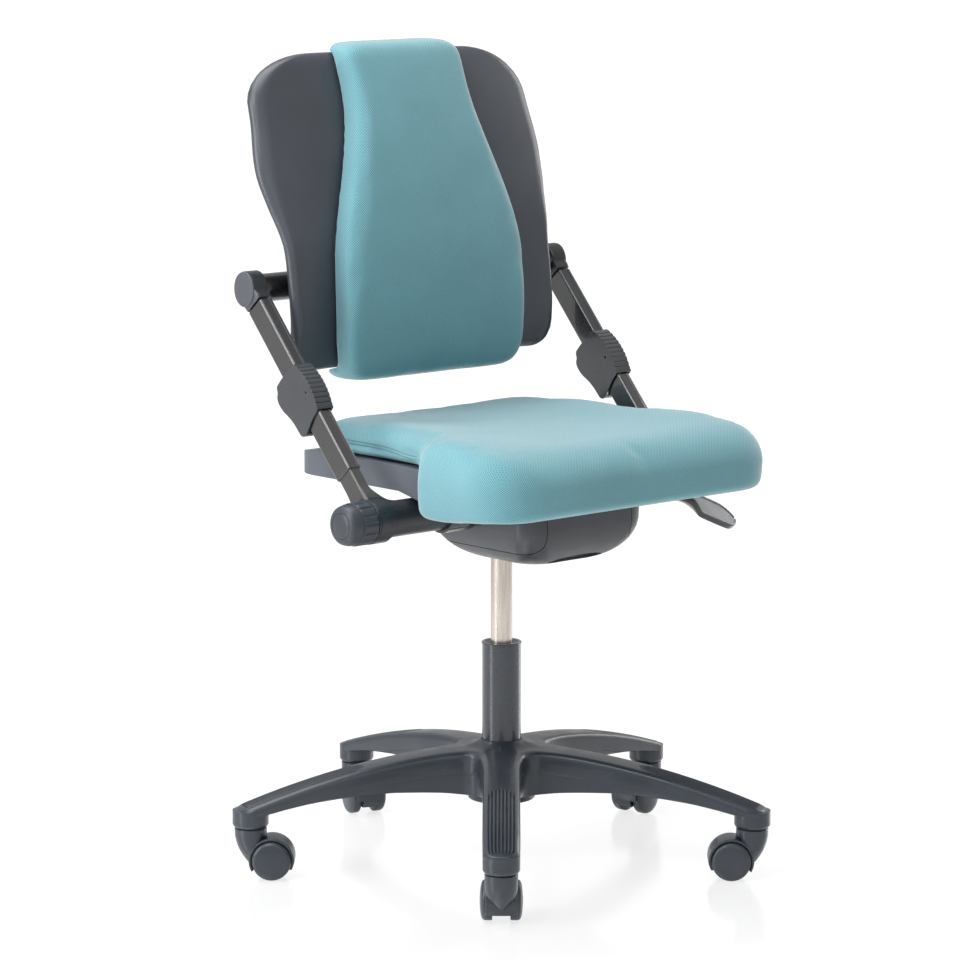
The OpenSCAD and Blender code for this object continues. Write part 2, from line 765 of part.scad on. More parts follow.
// Square sleeve that slides on the lower tube, with the upper hub and the clamp's trunnions
module sleeve(side) {
    cavity_width = sleeve_width - 2 * sleeve_wall;
    cavity_depth = sleeve_depth - 2 * sleeve_wall;
    color(bar_metal) on_bar(side) difference() {
        union() {
            translate([bar_offset, 0, sleeve_bottom]) linear_extrude(bar_length - sleeve_bottom)
                polygon(round_box(sleeve_width, sleeve_depth, 4));
            translate([0, 0, bar_length]) rod_x(hub_radius, hub_inner, hub_outer);
            translate([0, -clamp_pin_front, clamp_pin_along])
                rod_x(trunnion_radius, bar_offset - sleeve_width / 2 - trunnion_length,
                    bar_offset + sleeve_width / 2 + trunnion_length);
        }
        translate([bar_offset, 0, sleeve_bottom - 1]) linear_extrude(bar_length - hub_radius - 12 - sleeve_bottom)
            polygon(round_box(cavity_width, cavity_depth, 3));
        translate([0, 0, bar_length]) rod_x(crossbar_radius + fit_gap, hub_inner - 1, hub_outer + 1);
        // shallow channel along the front of the sleeve
        translate([bar_offset - 5, -sleeve_depth / 2 - 1, 232]) cube([10, 1.8, bar_length - hub_radius - 240]);
    }
}

module sleeve_left() { sleeve(1); }
module sleeve_right() { sleeve(-1); }

// Release lever around a sleeve: convex ribbed front, deep rear shell, open at both ends
module clamp(side) {
    groove_count = 9;
    arc_front = -2;
    arc_radius = 38;
    color(dark_plastic) on_bar(side) difference() {
        along_x(bar_offset - clamp_half, bar_offset + clamp_half) polygon(concat(
            [[-19, 224]], arc(arc_front + 10, 192, arc_radius - 2.6, 140, 214, 10),
            [[-21, 163], [9, 146], [16, 143.5], [23, 145], [28, 152], [30, 166], [38, 190], [38, 204],
             [33, 209], [34, 219], [26, 226], [13, 229], [-10, 229]]));
        along_x(bar_offset - sleeve_width / 2 - clamp_side_gap, bar_offset + sleeve_width / 2 + clamp_side_gap)
            polygon([[-18.7, 130], [19.5, 130], [19.5, 240], [-17.2, 240]]);
        translate([0, -clamp_pin_front, clamp_pin_along]) {
            rod_x(trunnion_radius + fit_gap, bar_offset - sleeve_width / 2 - trunnion_length - slide_gap,
                bar_offset + sleeve_width / 2 + trunnion_length + slide_gap);
            rod_x(1.4, bar_offset - 20, bar_offset + 20);
        }
        for (k = [0 : groove_count - 1])
            translate([bar_offset - clamp_half - 1, arc_front + 10, 192])
                rotate([214 - 180 - 8 - k * 7.4, 0, 0]) translate([0, -arc_radius - 2, -0.6])
                    cube([2 * clamp_half + 2, 5.4, 1.2]);
    }
}

module clamp_left() { clamp(1); }
module clamp_right() { clamp(-1); }

module crossbar() {
    color(black_paint) translate([0, cap_y, cap_z])
        ring_x(crossbar_radius, crossbar_radius - 2.5, -crossbar_half, crossbar_half);
}

// Plug with a bare round face that closes the upper hub
module cap(side) {
    color(plastic) on_bar(side) translate([hub_outer, 0, bar_length]) rotate([0, 90, 0]) {
        translate([0, 0, slide_gap - 4]) cylinder(r = crossbar_radius - 0.2, h = 4, $fn = 72);
        rotate_extrude($fn = 96)
            polygon([[0, 0.1], [hub_radius - 0.5, 0.1], [hub_radius - 0.5, 1.6], [hub_radius - 1.5, 2.4],
                [hub_radius - 4, 2.8], [0, 2.8]]);
    }
}

module cap_left() { cap(1); }
module cap_right() { cap(-1); }

// Lumbar curve of the centre pad's face
function curve_y(z) = curve_base + curve_rate * pow(z - curve_middle, 2);
// Wrap of the wings: forward at the waist, back at the shoulders
function wing_wrap(x, z) = min(9, max(-16, (z - cap_z - 115.7) * 0.1)) * pow(max(0, abs(x) - 120) / 110, 2);
function body_front(x, z) = curve_y(z) + pad_proud + wing_wrap(x, z);
function body_rear(x, z) = body_front(x, z) + body_sheet + 7 * pow(max(0, abs(x) - 130) / 100, 2);

function body_half(z) = back_waist_half + (back_shoulder_half - back_waist_half) * ease((z - cap_z - 30.7) / 140)
    - rounding(back_top - z, 85, 115) - rounding(z - back_bottom, 34, 30);

body_steps = 22;
body_zs = concat([for (a = [0 : 22.5 : 67.5]) back_bottom + 20 * (1 - cos(a))],
    [for (i = [1 : body_steps - 6]) back_bottom + (back_top - back_bottom) * i / (body_steps - 5)],
    [for (a = [72 : -18 : 0]) back_top - 24 * (1 - cos(a))]);

function body_ring(z) =
    let (h = body_half(z),
         e = rounding(back_top - z, 12, 6) + rounding(z - back_bottom, 12, 6),
         front = [for (u = [0, 0.25, 0.45, 0.6, 0.72, 0.83, 0.91]) [u * h, body_front(u * h, z) + e]],
         rear = [for (u = [0.93, 0.8, 0.62, 0.45, 0.25, 0]) [u * h, body_rear(u * h, z) - e]],
         f = body_front(h, z) + e,
         r = body_rear(h, z) - e,
         side = [[0.965 * h, f + (r - f) * 0.07], [0.99 * h, f + (r - f) * 0.25], [h, f + (r - f) * 0.5],
             [0.988 * h, f + (r - f) * 0.78]])
    [for (p = full_ring(concat(front, side, rear))) [p[0], p[1], z]];

// Dark moulded body of the backrest, whose wings show at both sides of the pad
module back_body() {
    color(dark_foam) loft([for (z = body_zs) body_ring(z)], true);
}

function pad_side(z) = pad_half - (pad_half - pad_top_half) * ease((z - cap_z - 23.7) / 220)
    - 3 * ease((cap_z - 24.3 - z) / 70)
    - rounding(pad_top - z, 18, 30) - rounding(z - pad_bottom, 30, 26);

function pad_ring(z) =
    let (w = pad_side(z),
         e = rounding(pad_top - z, 16, 11) + rounding(z - pad_bottom, 20, 13),
         y = curve_y(z) + e,
         base = function (x) z > back_top ? curve_y(z) + pad_proud + 9
             : z < back_bottom ? curve_y(z) + pad_proud + body_sheet + 4 : body_front(x, z) - soft_gap,
         front = [for (u = [0, 0.25, 0.5, 0.7, 0.82]) [u * w, y - 5 * (1 - u * u)]],
         side = [[w - 10, y + 1], [w - 4, y + 3.4], [w - 0.8, y + 7], [w, y + 10.5], [w - 2, min(y + 15, base(w) - 1)]],
         rear = [for (u = [0.96, 0.85, 0.7, 0.5, 0.25, 0]) [u * w, base(u * w)]])
    [for (p = full_ring(concat(front, side, rear))) [p[0], p[1], z]];

// Centre pad, waisted, which laps over the top and the bottom of the back body
module back_pad() {
    stations = concat(
        [for (d = [0, 2, 6, 12]) pad_bottom + d], [back_bottom - soft_gap, back_bottom + 0.001],
        [for (z = body_zs) if (z > back_bottom + 6 && z < back_top - 3) z],
        [back_top - 0.001, back_top + soft_gap],
        [for (d = [8, 4, 1.5, 0]) pad_top - d]);
    color(teal) loft([for (z = stations) pad_ring(z)], true);
}

// Panel on the rear of the back body, above the crossbar
module back_cover() {
    low = cover_low;
    high = back_top - 34;
    rows = [for (i = [0 : 16]) low + (high - low) * i / 16];
    color(plastic) intersection() {
        along_x(-cover_high_half, cover_high_half) polygon(concat(
            [for (z = rows) [body_rear(0, z) + slide_gap, z]],
            [for (i = [16 : -1 : 0]) [body_rear(0, rows[i]) + slide_gap + 3, rows[i]]]));
        along_y(cap_y - 100, cap_y + 100) polygon(concat(
            arc(cover_low_half - 30, low + 30, 30, 275, 350, 6), arc(cover_high_half - 50, high - 40, 40, 0, 85, 6),
            arc(-cover_high_half + 50, high - 40, 40, 95, 180, 6),
            arc(-cover_low_half + 30, low + 30, 30, 190, 265, 6)));
    }
}

// Two bearing saddles on the crossbar, on a plate behind the back body
module back_bracket() {
    low = cap_z - bracket_drop;
    high = cap_z + bracket_rise;
    rows = [for (i = [0 : 8]) low + (high - low) * i / 8];
    color(bar_metal) difference() {
        union() {
            along_x(-bracket_half, bracket_half) polygon(concat(
                [for (z = rows) [body_rear(0, z) + slide_gap, z]],
                [for (i = [8 : -1 : 0]) [body_rear(0, rows[i]) + slide_gap + 4, rows[i]]]));
            both_sides() translate([0, cap_y, cap_z]) intersection() {
                rod_x(crossbar_radius + 6, bracket_window_half + 4, bracket_half);
                translate([0, body_rear(0, cap_z) + slide_gap + 0.5 - cap_y, -50]) cube([100, 80, 100]);
            }
        }
        translate([0, cap_y, cap_z]) rod_x(crossbar_radius + fit_gap, -bracket_half - 6, bracket_half + 6);
        // middle window, so that the plate stays clear of the bar between the saddles
        translate([-bracket_window_half, cap_y - 40, cap_z - crossbar_radius - 6])
            cube([2 * bracket_window_half, 80, 2 * crossbar_radius + 12]);
    }
}

// Local frame of a caster: origin under the stem, X trails behind it
module on_caster(k) {
    rotate(arm_angle(k)) translate([stem_radius, 0, 0]) rotate(-arm_angle(k) + caster_turn[k]) children();
}

module axle_cylinder(r, from, to) {
    translate([caster_trail, from, wheel_radius]) rotate([-90, 0, 0]) cylinder(r = r, h = to - from, $fn = 72);
}

// Hood: neck under the stem, arched fender over both wheels and the web between them
module caster_hood(k) {
    fender_end = wheel_radius - 4;
    color(plastic) on_caster(k) difference() {
        union() {
            intersection() {
                axle_cylinder(hood_outer, -fender_half, fender_half);
                union() {
                    translate([-40, -40, fender_end]) cube([120, 80, 80]);
                    translate([-40, -40, fender_low]) cube([40 + caster_trail, 80, 80]);
                }
            }
            intersection() {
                axle_cylinder(hood_outer, -wheel_inner + hood_gap, wheel_inner - hood_gap);
                translate([-40, -40, web_bottom]) cube([120, 80, 80]);
            }
            intersection() {
                translate([0, 0, 24]) cylinder(r1 = 8, r2 = neck_radius, h = 22, $fn = 72);
                translate([-40, -40, 24]) cube([caster_trail + 40, 80, 30]);
            }
            translate([0, 0, 45]) cylinder(r = neck_radius, h = hood_top - 45, $fn = 72);
        }
        for (s = [-1, 1])
            axle_cylinder(hood_inner, s > 0 ? wheel_inner - hood_gap : -60, s > 0 ? 60 : -wheel_inner + hood_gap);
        axle_cylinder(axle_radius + fit_gap, -60, 60);
        translate([0, 0, 30]) cylinder(r = stem_pin_radius + fit_gap, h = 60, $fn = 48);
    }
}

// Steel stem and axle of one caster
module caster_pins(k) {
    color(steel) on_caster(k) {
        translate([0, 0, 30 + slide_gap]) cylinder(r = stem_pin_radius, h = bore_roof - 30 - 2 * slide_gap, $fn = 48);
        translate([0, 0, hood_top + 0.1]) cylinder(r = 9, h = socket_bottom - hood_top - 0.1 - slide_gap, $fn = 48);
        axle_cylinder(axle_radius, -wheel_outer + 4, wheel_outer - 4);
    }
}

// Wheel with a rounded tread edge and a slightly domed face
module wheel(k, side) {
    edge = 4.5;
    color(dark_plastic) on_caster(k) mirror([0, side > 0 ? 0 : 1, 0])
        translate([caster_trail, wheel_inner, wheel_radius]) rotate([-90, 0, 0]) difference() {
            rotate_extrude($fn = 96) polygon(concat(
                [[0, 0], [wheel_radius - 1, 0], [wheel_radius, 1]],
                arc(wheel_radius - edge, wheel_width - edge - 0.8, edge, 0, 78, 6),
                [[wheel_radius * 0.55, wheel_width - 0.3], [0, wheel_width]]));
            translate([0, 0, -1]) cylinder(r = axle_radius + fit_gap, h = wheel_width - 4 + 1 + slide_gap, $fn = 48);
        }
}

star_base();
column_tube();
column_ring();
guide_bush();
piston_rod();
thrust_bearing();
pressure_tube();
mechanism_block();
pivot_bushes();
torsion_sleeve();
housing_tray();
housing_side_left();
housing_side_right();
height_paddle();
paddle_pin();
cross_tube();
elbow_left();
elbow_right();
knob_left();
knob_right();
seat_carrier();
seat_pan();
seat_cushion();
sleeve_left();
sleeve_right();
clamp_left();
clamp_right();
crossbar();
cap_left();
cap_right();
back_bracket();
back_cover();
back_body();
back_pad();
for (k = [0 : arm_count - 1]) {
    caster_hood(k);
    caster_pins(k);
    wheel(k, 1);
    wheel(k, -1);
}
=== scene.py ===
import math

import bmesh
import bpy
from mathutils import Matrix, Vector, kdtree
from mathutils.bvhtree import BVHTree


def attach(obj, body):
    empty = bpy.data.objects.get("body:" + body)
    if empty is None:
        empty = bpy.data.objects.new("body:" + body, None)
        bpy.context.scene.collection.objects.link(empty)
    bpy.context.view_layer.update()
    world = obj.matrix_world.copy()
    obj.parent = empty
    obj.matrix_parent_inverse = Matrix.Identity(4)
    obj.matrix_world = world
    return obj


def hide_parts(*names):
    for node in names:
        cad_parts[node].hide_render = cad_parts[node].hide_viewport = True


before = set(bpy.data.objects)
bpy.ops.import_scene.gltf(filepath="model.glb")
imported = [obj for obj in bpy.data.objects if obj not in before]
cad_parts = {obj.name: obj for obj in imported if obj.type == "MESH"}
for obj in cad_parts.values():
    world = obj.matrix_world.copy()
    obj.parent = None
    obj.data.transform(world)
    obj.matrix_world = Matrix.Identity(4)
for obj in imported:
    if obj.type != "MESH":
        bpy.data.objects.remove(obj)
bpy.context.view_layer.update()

# Office task chair. Sizes are written in millimetres and become metres when a piece is finished.
# The front is -Y, the sitter's left is +X and the floor is Z = 0.
scene = bpy.context.scene
mm = 0.001
tau = 2 * math.pi
crosswise, forward, upright = (1, 0, 0), (0, 1, 0), (0, 0, 1)
print("frame loaded:", len(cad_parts), "nodes")


def ease(t):
    c = min(1, max(0, t))
    return c * c * (3 - 2 * c)


def rounding(distance, length, depth):  # inset of an end rounded over length, at a distance from it
    if distance >= length:
        return 0
    return depth * (1 - math.sqrt(max(0, 1 - ((length - distance) / length) ** 2)))


def lookup(x, table):
    if x <= table[0][0]:
        return table[0][1]
    for (x0, y0), (x1, y1) in zip(table, table[1:]):
        if x <= x1:
            return y0 + (y1 - y0) * (x - x0) / (x1 - x0)
    return table[-1][1]


def arc(cx, cy, radius, start, end, steps):
    out = []
    for i in range(steps + 1):
        a = math.radians(start + (end - start) * i / steps)
        out.append((cx + radius * math.cos(a), cy + radius * math.sin(a)))
    return out


def roundRect(width, depth, radius, steps=5, cx=0, cy=0):
    w, d = width / 2 - radius, depth / 2 - radius
    return (arc(cx + w, cy + d, radius, 0, 90, steps) + arc(cx - w, cy + d, radius, 90, 180, steps)
            + arc(cx - w, cy - d, radius, 180, 270, steps) + arc(cx + w, cy - d, radius, 270, 360, steps))


def fullRing(half):  # mirrors the half with X >= 0, whose ends lie on X = 0
    return half + [(-p[0], *p[1:]) for p in half[-2:0:-1]]


def startRing(bm, points):
    ring = bmesh.ops.create_circle(bm, segments=len(points), radius=1)["verts"]
    for vert, point in zip(ring, points):
        vert.co = point
    return ring


def growRing(bm, ring, points):  # extrudes a closed ring of edges onto the next ring of points
    edges = [bm.edges.get((a, b)) for a, b in zip(ring, ring[1:] + ring[:1])]
    grown = bmesh.ops.extrude_edge_only(bm, edges=edges)["geom"]
    fresh = {g for g in grown if isinstance(g, bmesh.types.BMVert)}
    following = []
    for vert, point in zip(ring, points):
        mate = next(e.other_vert(vert) for e in vert.link_edges if e.other_vert(vert) in fresh)
        mate.co = point
        following.append(mate)
    return following


def loft(bm, rings, capped=True):
    first = ring = startRing(bm, rings[0])
    for points in rings[1:]:
        ring = growRing(bm, ring, points)
    if capped:
        bm.faces.new(first)
        bm.faces.new(ring)
    return first, ring


def turned(bm, profile, steps=64, axis=crosswise):  # profile of (along, radius) about an axis
    along = Vector(axis)
    out = Vector((0, 0, 1)) if abs(along.z) < 0.5 else Vector((1, 0, 0))
    verts = [bm.verts.new(along * a + out * r) for a, r in profile]
    edges = [bm.edges.new(pair) for pair in zip(verts, verts[1:])]
    bmesh.ops.spin(bm, geom=verts + edges, cent=(0, 0, 0), axis=axis, angle=tau, steps=steps, use_merge=True)


def solid(make, *how, **settings):  # a new mesh that holds one form
    bm = bmesh.new()
    make(bm, *how, **settings)
    return bm


def everything(bm):
    return bm.verts[:] + bm.edges[:] + bm.faces[:]


def sweep(start, reach, angles):  # steps that crowd towards the start, as on a round end
    return [start + reach * (1 - math.cos(math.radians(a))) for a in angles]


def shift(bm, x, y, z):
    bmesh.ops.translate(bm, verts=bm.verts, vec=(x, y, z))


def turnAll(bm, degrees, axis="Z", verts=None):
    bmesh.ops.rotate(bm, verts=verts or bm.verts, cent=(0, 0, 0),
                     matrix=Matrix.Rotation(math.radians(degrees), 3, axis))


def shifted(x=0, y=0, z=0):
    return Matrix.Translation((x, y, z))


def rotated(degrees, axis):
    return Matrix.Rotation(math.radians(degrees), 4, axis)


def faceOut(bm):
    bmesh.ops.recalc_face_normals(bm, faces=bm.faces)


def prism(bm, outline, low, high, axis="X"):  # outline in the other two axes, in their order
    def at(u, v, w):
        return {"X": (w, u, v), "Y": (u, w, v), "Z": (u, v, w)}[axis]
    face = bm.faces.new([bm.verts.new(at(u, v, low)) for u, v in outline])
    moved = bmesh.ops.extrude_face_region(bm, geom=[face])["geom"]
    verts = [g for g in moved if isinstance(g, bmesh.types.BMVert)]
    bmesh.ops.translate(bm, verts=verts, vec=Vector(at(0, 0, high - low)))


def pour(bm, part):  # adds a part's mesh to another mesh
    mesh = meshOf(part, "part")
    bm.from_mesh(mesh)
    bpy.data.meshes.remove(mesh)


def merge(bm, part, place=None):  # adds a part with its faces turned out
    bmesh.ops.remove_doubles(part, verts=part.verts, dist=0.005)
    faceOut(part)
    if place:
        bmesh.ops.transform(part, matrix=place, verts=part.verts)
    pour(bm, part)


def bevelled(bm, edges, width, segments):
    bmesh.ops.bevel(bm, geom=edges, offset=width, offset_type="OFFSET", affect="EDGES", segments=segments,
                    profile=0.5, material=-1, clamp_overlap=True)


def smoothShaded(bm, sharp):  # smooth faces that meet in sharp edges from an angle upwards
    for face in bm.faces:
        face.smooth = True
    for edge in bm.edges:
        edge.smooth = len(edge.link_faces) == 2 and edge.calc_face_angle(0) < math.radians(sharp)


def meshOf(bm, name):
    mesh = bpy.data.meshes.new(name)
    bm.to_mesh(mesh)
    bm.free()
    return mesh


def finishMesh(bm, name, place=None, weld=0.005, sharp=38, turnOut=True):
    bmesh.ops.remove_doubles(bm, verts=bm.verts, dist=weld)
    bmesh.ops.transform(bm, matrix=Matrix.Scale(mm, 4) @ (place or Matrix()), verts=bm.verts)
    if turnOut:
        faceOut(bm)
    bm.normal_update()
    smoothShaded(bm, sharp)
    return meshOf(bm, name)


def added(name, data):
    obj = bpy.data.objects.new(name, data)
    scene.collection.objects.link(obj)
    return obj


def declared(obj, material, body, stands=()):
    obj.data.materials.clear()
    obj.data.materials.append(material)
    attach(obj, body)
    if stands:
        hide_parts(*stands)
    return obj


def piece(bm, name, material, body, slot, stands=(), place=None, **how):
    return declared(added(name, finishMesh(bm, name, place, **how)), material, body, stands)


def settle(obj):  # turns the modifiers into plain mesh
    evaluated = obj.evaluated_get(bpy.context.evaluated_depsgraph_get())
    mesh = bpy.data.meshes.new_from_object(evaluated)
    obj.modifiers.clear()
    old = obj.data
    obj.data = mesh
    bpy.data.meshes.remove(old)


def loose(bm, place=None):  # a helper solid for cutting
    return added("cutter", finishMesh(bm, "cutter", place))


def carve(obj, cutters, operation="DIFFERENCE"):
    for cutter in cutters:
        step = obj.modifiers.new("Carve", "BOOLEAN")
        step.operation = operation
        step.object = cutter
        step.solver = "EXACT"
    settle(obj)
    for cutter in cutters:
        mesh = cutter.data
        bpy.data.objects.remove(cutter)
        bpy.data.meshes.remove(mesh)


def evenShading(obj):  # flat faces stay flat beside their rounded edges
    obj.modifiers.new("Shading", "WEIGHTED_NORMAL").keep_sharp = True


def softenEdges(obj, width, segments=3, angle=40):
    bevel = obj.modifiers.new("Edges", "BEVEL")
    bevel.width = width * mm
    bevel.segments = segments
    bevel.limit_method = "ANGLE"
    bevel.angle_limit = math.radians(angle)
    bevel.miter_outer = "MITER_ARC"
    for face in obj.data.polygons:
        face.use_smooth = True
    evenShading(obj)


def subdivided(obj):
    step = obj.modifiers.new("Smooth", "SUBSURF")
    step.levels = 1
    step.render_levels = 1


def secondFinish(obj, place, material, inside):  # on the faces inside, told in the frame of place
    obj.data.materials.append(material)
    back = place.inverted()
    for face in obj.data.polygons:
        if inside(back @ (face.center / mm)):
            face.material_index = 1


# Materials: each takes its colours as display values from 0 to 255
def fill(tree, made, sockets):  # links or sets the inputs of a node
    for key, value in sockets.items():
        if hasattr(value, "links"):
            tree.links.new(value, made.inputs[key])
        else:
            made.inputs[key].default_value = value


def node(tree, kind, sockets=None, **settings):
    made = tree.nodes.new("ShaderNode" + kind)
    for key, value in settings.items():
        setattr(made, key, value)
    fill(tree, made, sockets or {})
    return made


def newMaterial(name, roughness, metallic=0.0, specular=0.5):
    material = bpy.data.materials.new(name)
    material.use_nodes = True
    tree = material.node_tree
    shader = tree.nodes["Principled BSDF"]
    fill(tree, shader, {"Roughness": roughness, "Metallic": metallic, "Specular IOR Level": specular})
    return material, tree, shader


def combined(tree, operation, a, b=0.0, kind="Math"):
    return node(tree, kind, {0: a, 1: b}, operation=operation).outputs[0]


def linear(colour):
    steps = [c / 255 for c in colour]
    return (*[c / 12.92 if c < 0.04045 else ((c + 0.055) / 1.055) ** 2.4 for c in steps], 1)


def noise(tree, vector, scale, detail=3, roughness=0.5):
    return node(tree, "TexNoise", {"Vector": vector, "Scale": scale, "Detail": detail,
                                   "Roughness": roughness}).outputs["Fac"]


def ranged(tree, value, low, high, start=0.3, end=0.7):
    return node(tree, "MapRange", {"Value": value, "From Min": start, "From Max": end, "To Min": low,
                                   "To Max": high}).outputs["Result"]


def bumped(tree, height, strength, distance):
    bump = node(tree, "Bump", {"Strength": strength, "Distance": distance, "Height": height})
    return bump.outputs["Normal"]


def coloured(tree, value, first, last, middle=None):  # ramp through stops of position and colour
    ramp = node(tree, "ValToRGB", {"Fac": value})
    stops = ramp.color_ramp.elements
    for stop, (position, colour) in zip(list(stops), (first, last)):
        stop.position = position
        stop.color = linear(colour)
    if middle:
        stops.new(middle[0]).color = linear(middle[1])
    return ramp.outputs["Color"]


def tinted(tree, low, high, vector, scale):
    return coloured(tree, noise(tree, vector, scale, 3, 0.55), (0.32, low), (0.68, high))


def moulded(name, low, high, roughness, grain=1500, depth=0.12, coat=0.0):
    material, tree, shader = newMaterial(name, roughness)
    place = node(tree, "TexCoord").outputs["Object"]
    pores = node(tree, "TexVoronoi", {"Vector": place, "Scale": grain * 0.6, "Randomness": 1})
    height = combined(tree, "ADD", combined(tree, "MULTIPLY", pores.outputs["Distance"], 0.5),
                      noise(tree, place, grain, 2))
    worn = ranged(tree, noise(tree, place, 34, 4), roughness - 0.05, roughness + 0.06)
    fill(tree, shader, {"Base Color": tinted(tree, low, high, place, 9), "Coat Weight": coat,
                        "Normal": bumped(tree, height, depth, 0.0004), "Roughness": worn})
    return material


def skinned(name, low, high):  # leather-grained skin of the back body
    material, tree, shader = newMaterial(name, 0.34, specular=0.6)
    place = node(tree, "TexCoord").outputs["Object"]
    drift = node(tree, "TexNoise", {"Vector": place, "Scale": 180, "Detail": 2}).outputs["Color"]
    step = combined(tree, "MULTIPLY", drift, (0.002,) * 3, "VectorMath")
    moved = combined(tree, "ADD", place, step, "VectorMath")
    cells = node(tree, "TexVoronoi", {"Vector": moved, "Scale": 620}, feature="DISTANCE_TO_EDGE")
    flat = combined(tree, "MINIMUM", cells.outputs["Distance"], 0.25)
    fill(tree, shader, {"Base Color": tinted(tree, low, high, place, 7),
                        "Normal": bumped(tree, flat, 0.35, 0.0005)})
    return material


# weave colours: the thread's own colour, a darker one painted as shade in the hollows between the threads,
# and a paler one painted as a highlight on their crowns
weave = {"pitch": 2.6, "seamHalf": 1.9, "ground": (44, 104, 118), "thread": (84, 146, 158),
         "light": (142, 186, 193)}


def woven(name, seam=False):
    material, tree, shader = newMaterial(name, 0.82, specular=0.25)

    def calc(operation, a, b=0.0):
        return combined(tree, operation, a, b)

    coords = node(tree, "TexCoord").outputs
    scaled = combined(tree, "MULTIPLY", coords["Object"], (tau / weave["pitch"] / mm,) * 3, "VectorMath")
    waves = [calc("SINE", axis) for axis in node(tree, "SeparateXYZ", {0: scaled}).outputs]
    facing = node(tree, "SeparateXYZ", {0: coords["Normal"]}).outputs
    shares = [calc("POWER", calc("ABSOLUTE", axis), 3.0) for axis in facing]
    allShares = calc("ADD", calc("ADD", shares[0], shares[1]), shares[2])
    total = 0.0
    for share, (a, b) in zip(shares, [(1, 2), (0, 2), (0, 1)]):
        lattice = calc("MULTIPLY", waves[a], waves[b])
        total = calc("ADD", calc("MULTIPLY", lattice, calc("DIVIDE", share, allShares)), total)
    level = calc("ADD", calc("MULTIPLY", total, 0.5), 0.5)
    height = calc("ADD", level, calc("MULTIPLY", noise(tree, coords["Object"], 1400), 0.35))
    # colour follows the weave's height: painted shade in its hollows, the thread colour between, a painted
    # highlight on its crowns
    colour = coloured(tree, height, (0.12, weave["ground"]), (1.0, weave["light"]), (0.55, weave["thread"]))
    value = ranged(tree, noise(tree, coords["Object"], 14), 0.96, 1.04)
    if seam:  # two fine lines beside the height kept on the cushion's points, in millimetres
        across, share = [node(tree, "Attribute", attribute_name=word).outputs["Fac"]
                         for word in ("seamHeight", "seamShare")]
        near = calc("ABSOLUTE", calc("SUBTRACT", calc("ABSOLUTE", across), weave["seamHalf"]))
        line = calc("MULTIPLY", ranged(tree, near, 1.0, 0.0, 0.2, 1.0), share)
        value = calc("SUBTRACT", value, calc("MULTIPLY", line, 0.42))
        height = calc("SUBTRACT", height, calc("MULTIPLY", line, 1.6))
    shade = node(tree, "HueSaturation", {"Color": colour, "Value": value}).outputs["Color"]
    fill(tree, shader, {"Base Color": shade, "Normal": bumped(tree, height, 0.55, 0.0004),
                        "Sheen Weight": 0.75, "Sheen Roughness": 0.45, "Sheen Tint": linear((236, 240, 242))})
    return material


def brushed(name, low, high, roughness, stretch):
    material, tree, shader = newMaterial(name, roughness, metallic=1.0)
    place = node(tree, "TexCoord").outputs["Object"]
    run = node(tree, "Mapping", {"Vector": place, "Scale": stretch}).outputs["Vector"]
    lines = noise(tree, run, 1040)
    fill(tree, shader, {"Base Color": tinted(tree, low, high, run, 260), "Anisotropic": 0.4,
                        "Roughness": ranged(tree, lines, roughness - 0.07, roughness + 0.08),
                        "Normal": bumped(tree, lines, 0.05, 0.0002)})
    return material


fabric = woven("tealWeave")
seatFabric = woven("tealSeat", seam=True)
threadTeal = moulded("tealThread", (70, 128, 142), (92, 150, 163), 0.7, 2600, 0.3)
basePlastic = moulded("basePlastic", (40, 47, 55), (50, 57, 66), 0.36, coat=0.15)
housingPlastic = moulded("housingPlastic", (58, 61, 66), (68, 71, 76), 0.34)
columnPlastic = moulded("columnPlastic", (42, 48, 56), (50, 56, 64), 0.26, 1500, 0.03, coat=0.5)
panPlastic = moulded("panPlastic", (84, 90, 99), (94, 100, 109), 0.42)
darkPlastic = moulded("darkPlastic", (50, 55, 62), (58, 64, 72), 0.40)
barPaint = moulded("barPaint", (41, 41, 43), (49, 49, 51), 0.25, 2200, 0.05, coat=0.8)
channelPaint = moulded("channelPaint", (40, 41, 43), (48, 49, 51), 0.36, 2200, 0.06)
elbowPaint = moulded("elbowPaint", (54, 53, 53), (64, 62, 61), 0.34, 2200, 0.06, coat=0.4)
tubePaint = moulded("tubePaint", (32, 36, 40), (41, 45, 50), 0.32, 1800, 0.1)
clampPlastic = moulded("clampPlastic", (46, 49, 53), (56, 59, 63), 0.3, coat=0.6)
blackPaint = moulded("blackPaint", (20, 21, 22), (28, 29, 31), 0.2, 2200, 0.04, coat=0.3)
capPlastic = moulded("capPlastic", (74, 77, 84), (86, 89, 96), 0.34)
bushPlastic = moulded("bushPlastic", (206, 200, 186), (224, 218, 204), 0.5)
rubber = moulded("rubberSleeve", (30, 31, 33), (40, 41, 43), 0.72)
skin = skinned("grainedSkin", (58, 62, 69), (68, 72, 80))
satinSteel = brushed("satinSteel", (184, 175, 166), (214, 206, 198), 0.32, (1, 1, 0.04))
bearingSteel = brushed("bearingSteel", (150, 150, 152), (190, 190, 192), 0.3, (1, 1, 1))
print("materials ready")

# Every node gets its finish by the start of its name; the pieces below then stand in for many of them
finishes = [
    (columnPlastic, "column_tube"), (satinSteel, "pressure_tube"), (barPaint, "sleeve"),
    (tubePaint, "cross_tube"), (bushPlastic, "pivot_bushes"), (rubber, "torsion_sleeve"),
    (bearingSteel, ("column_ring", "piston_rod", "thrust_bearing", "paddle_pin", "caster_pins")),
    (blackPaint, ("mechanism_block", "seat_carrier", "crossbar", "back_bracket")),
    (darkPlastic, ("guide_bush", "back_cover", "height_paddle")), (housingPlastic, ("seat_pan", "housing")),
    (fabric, ("seat_cushion", "back_pad")), (skin, "back_body")]
for nodeName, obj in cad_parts.items():
    material = next((finish for finish, start in finishes if nodeName.startswith(start)), basePlastic)
    obj.data.materials.clear()
    obj.data.materials.append(material)


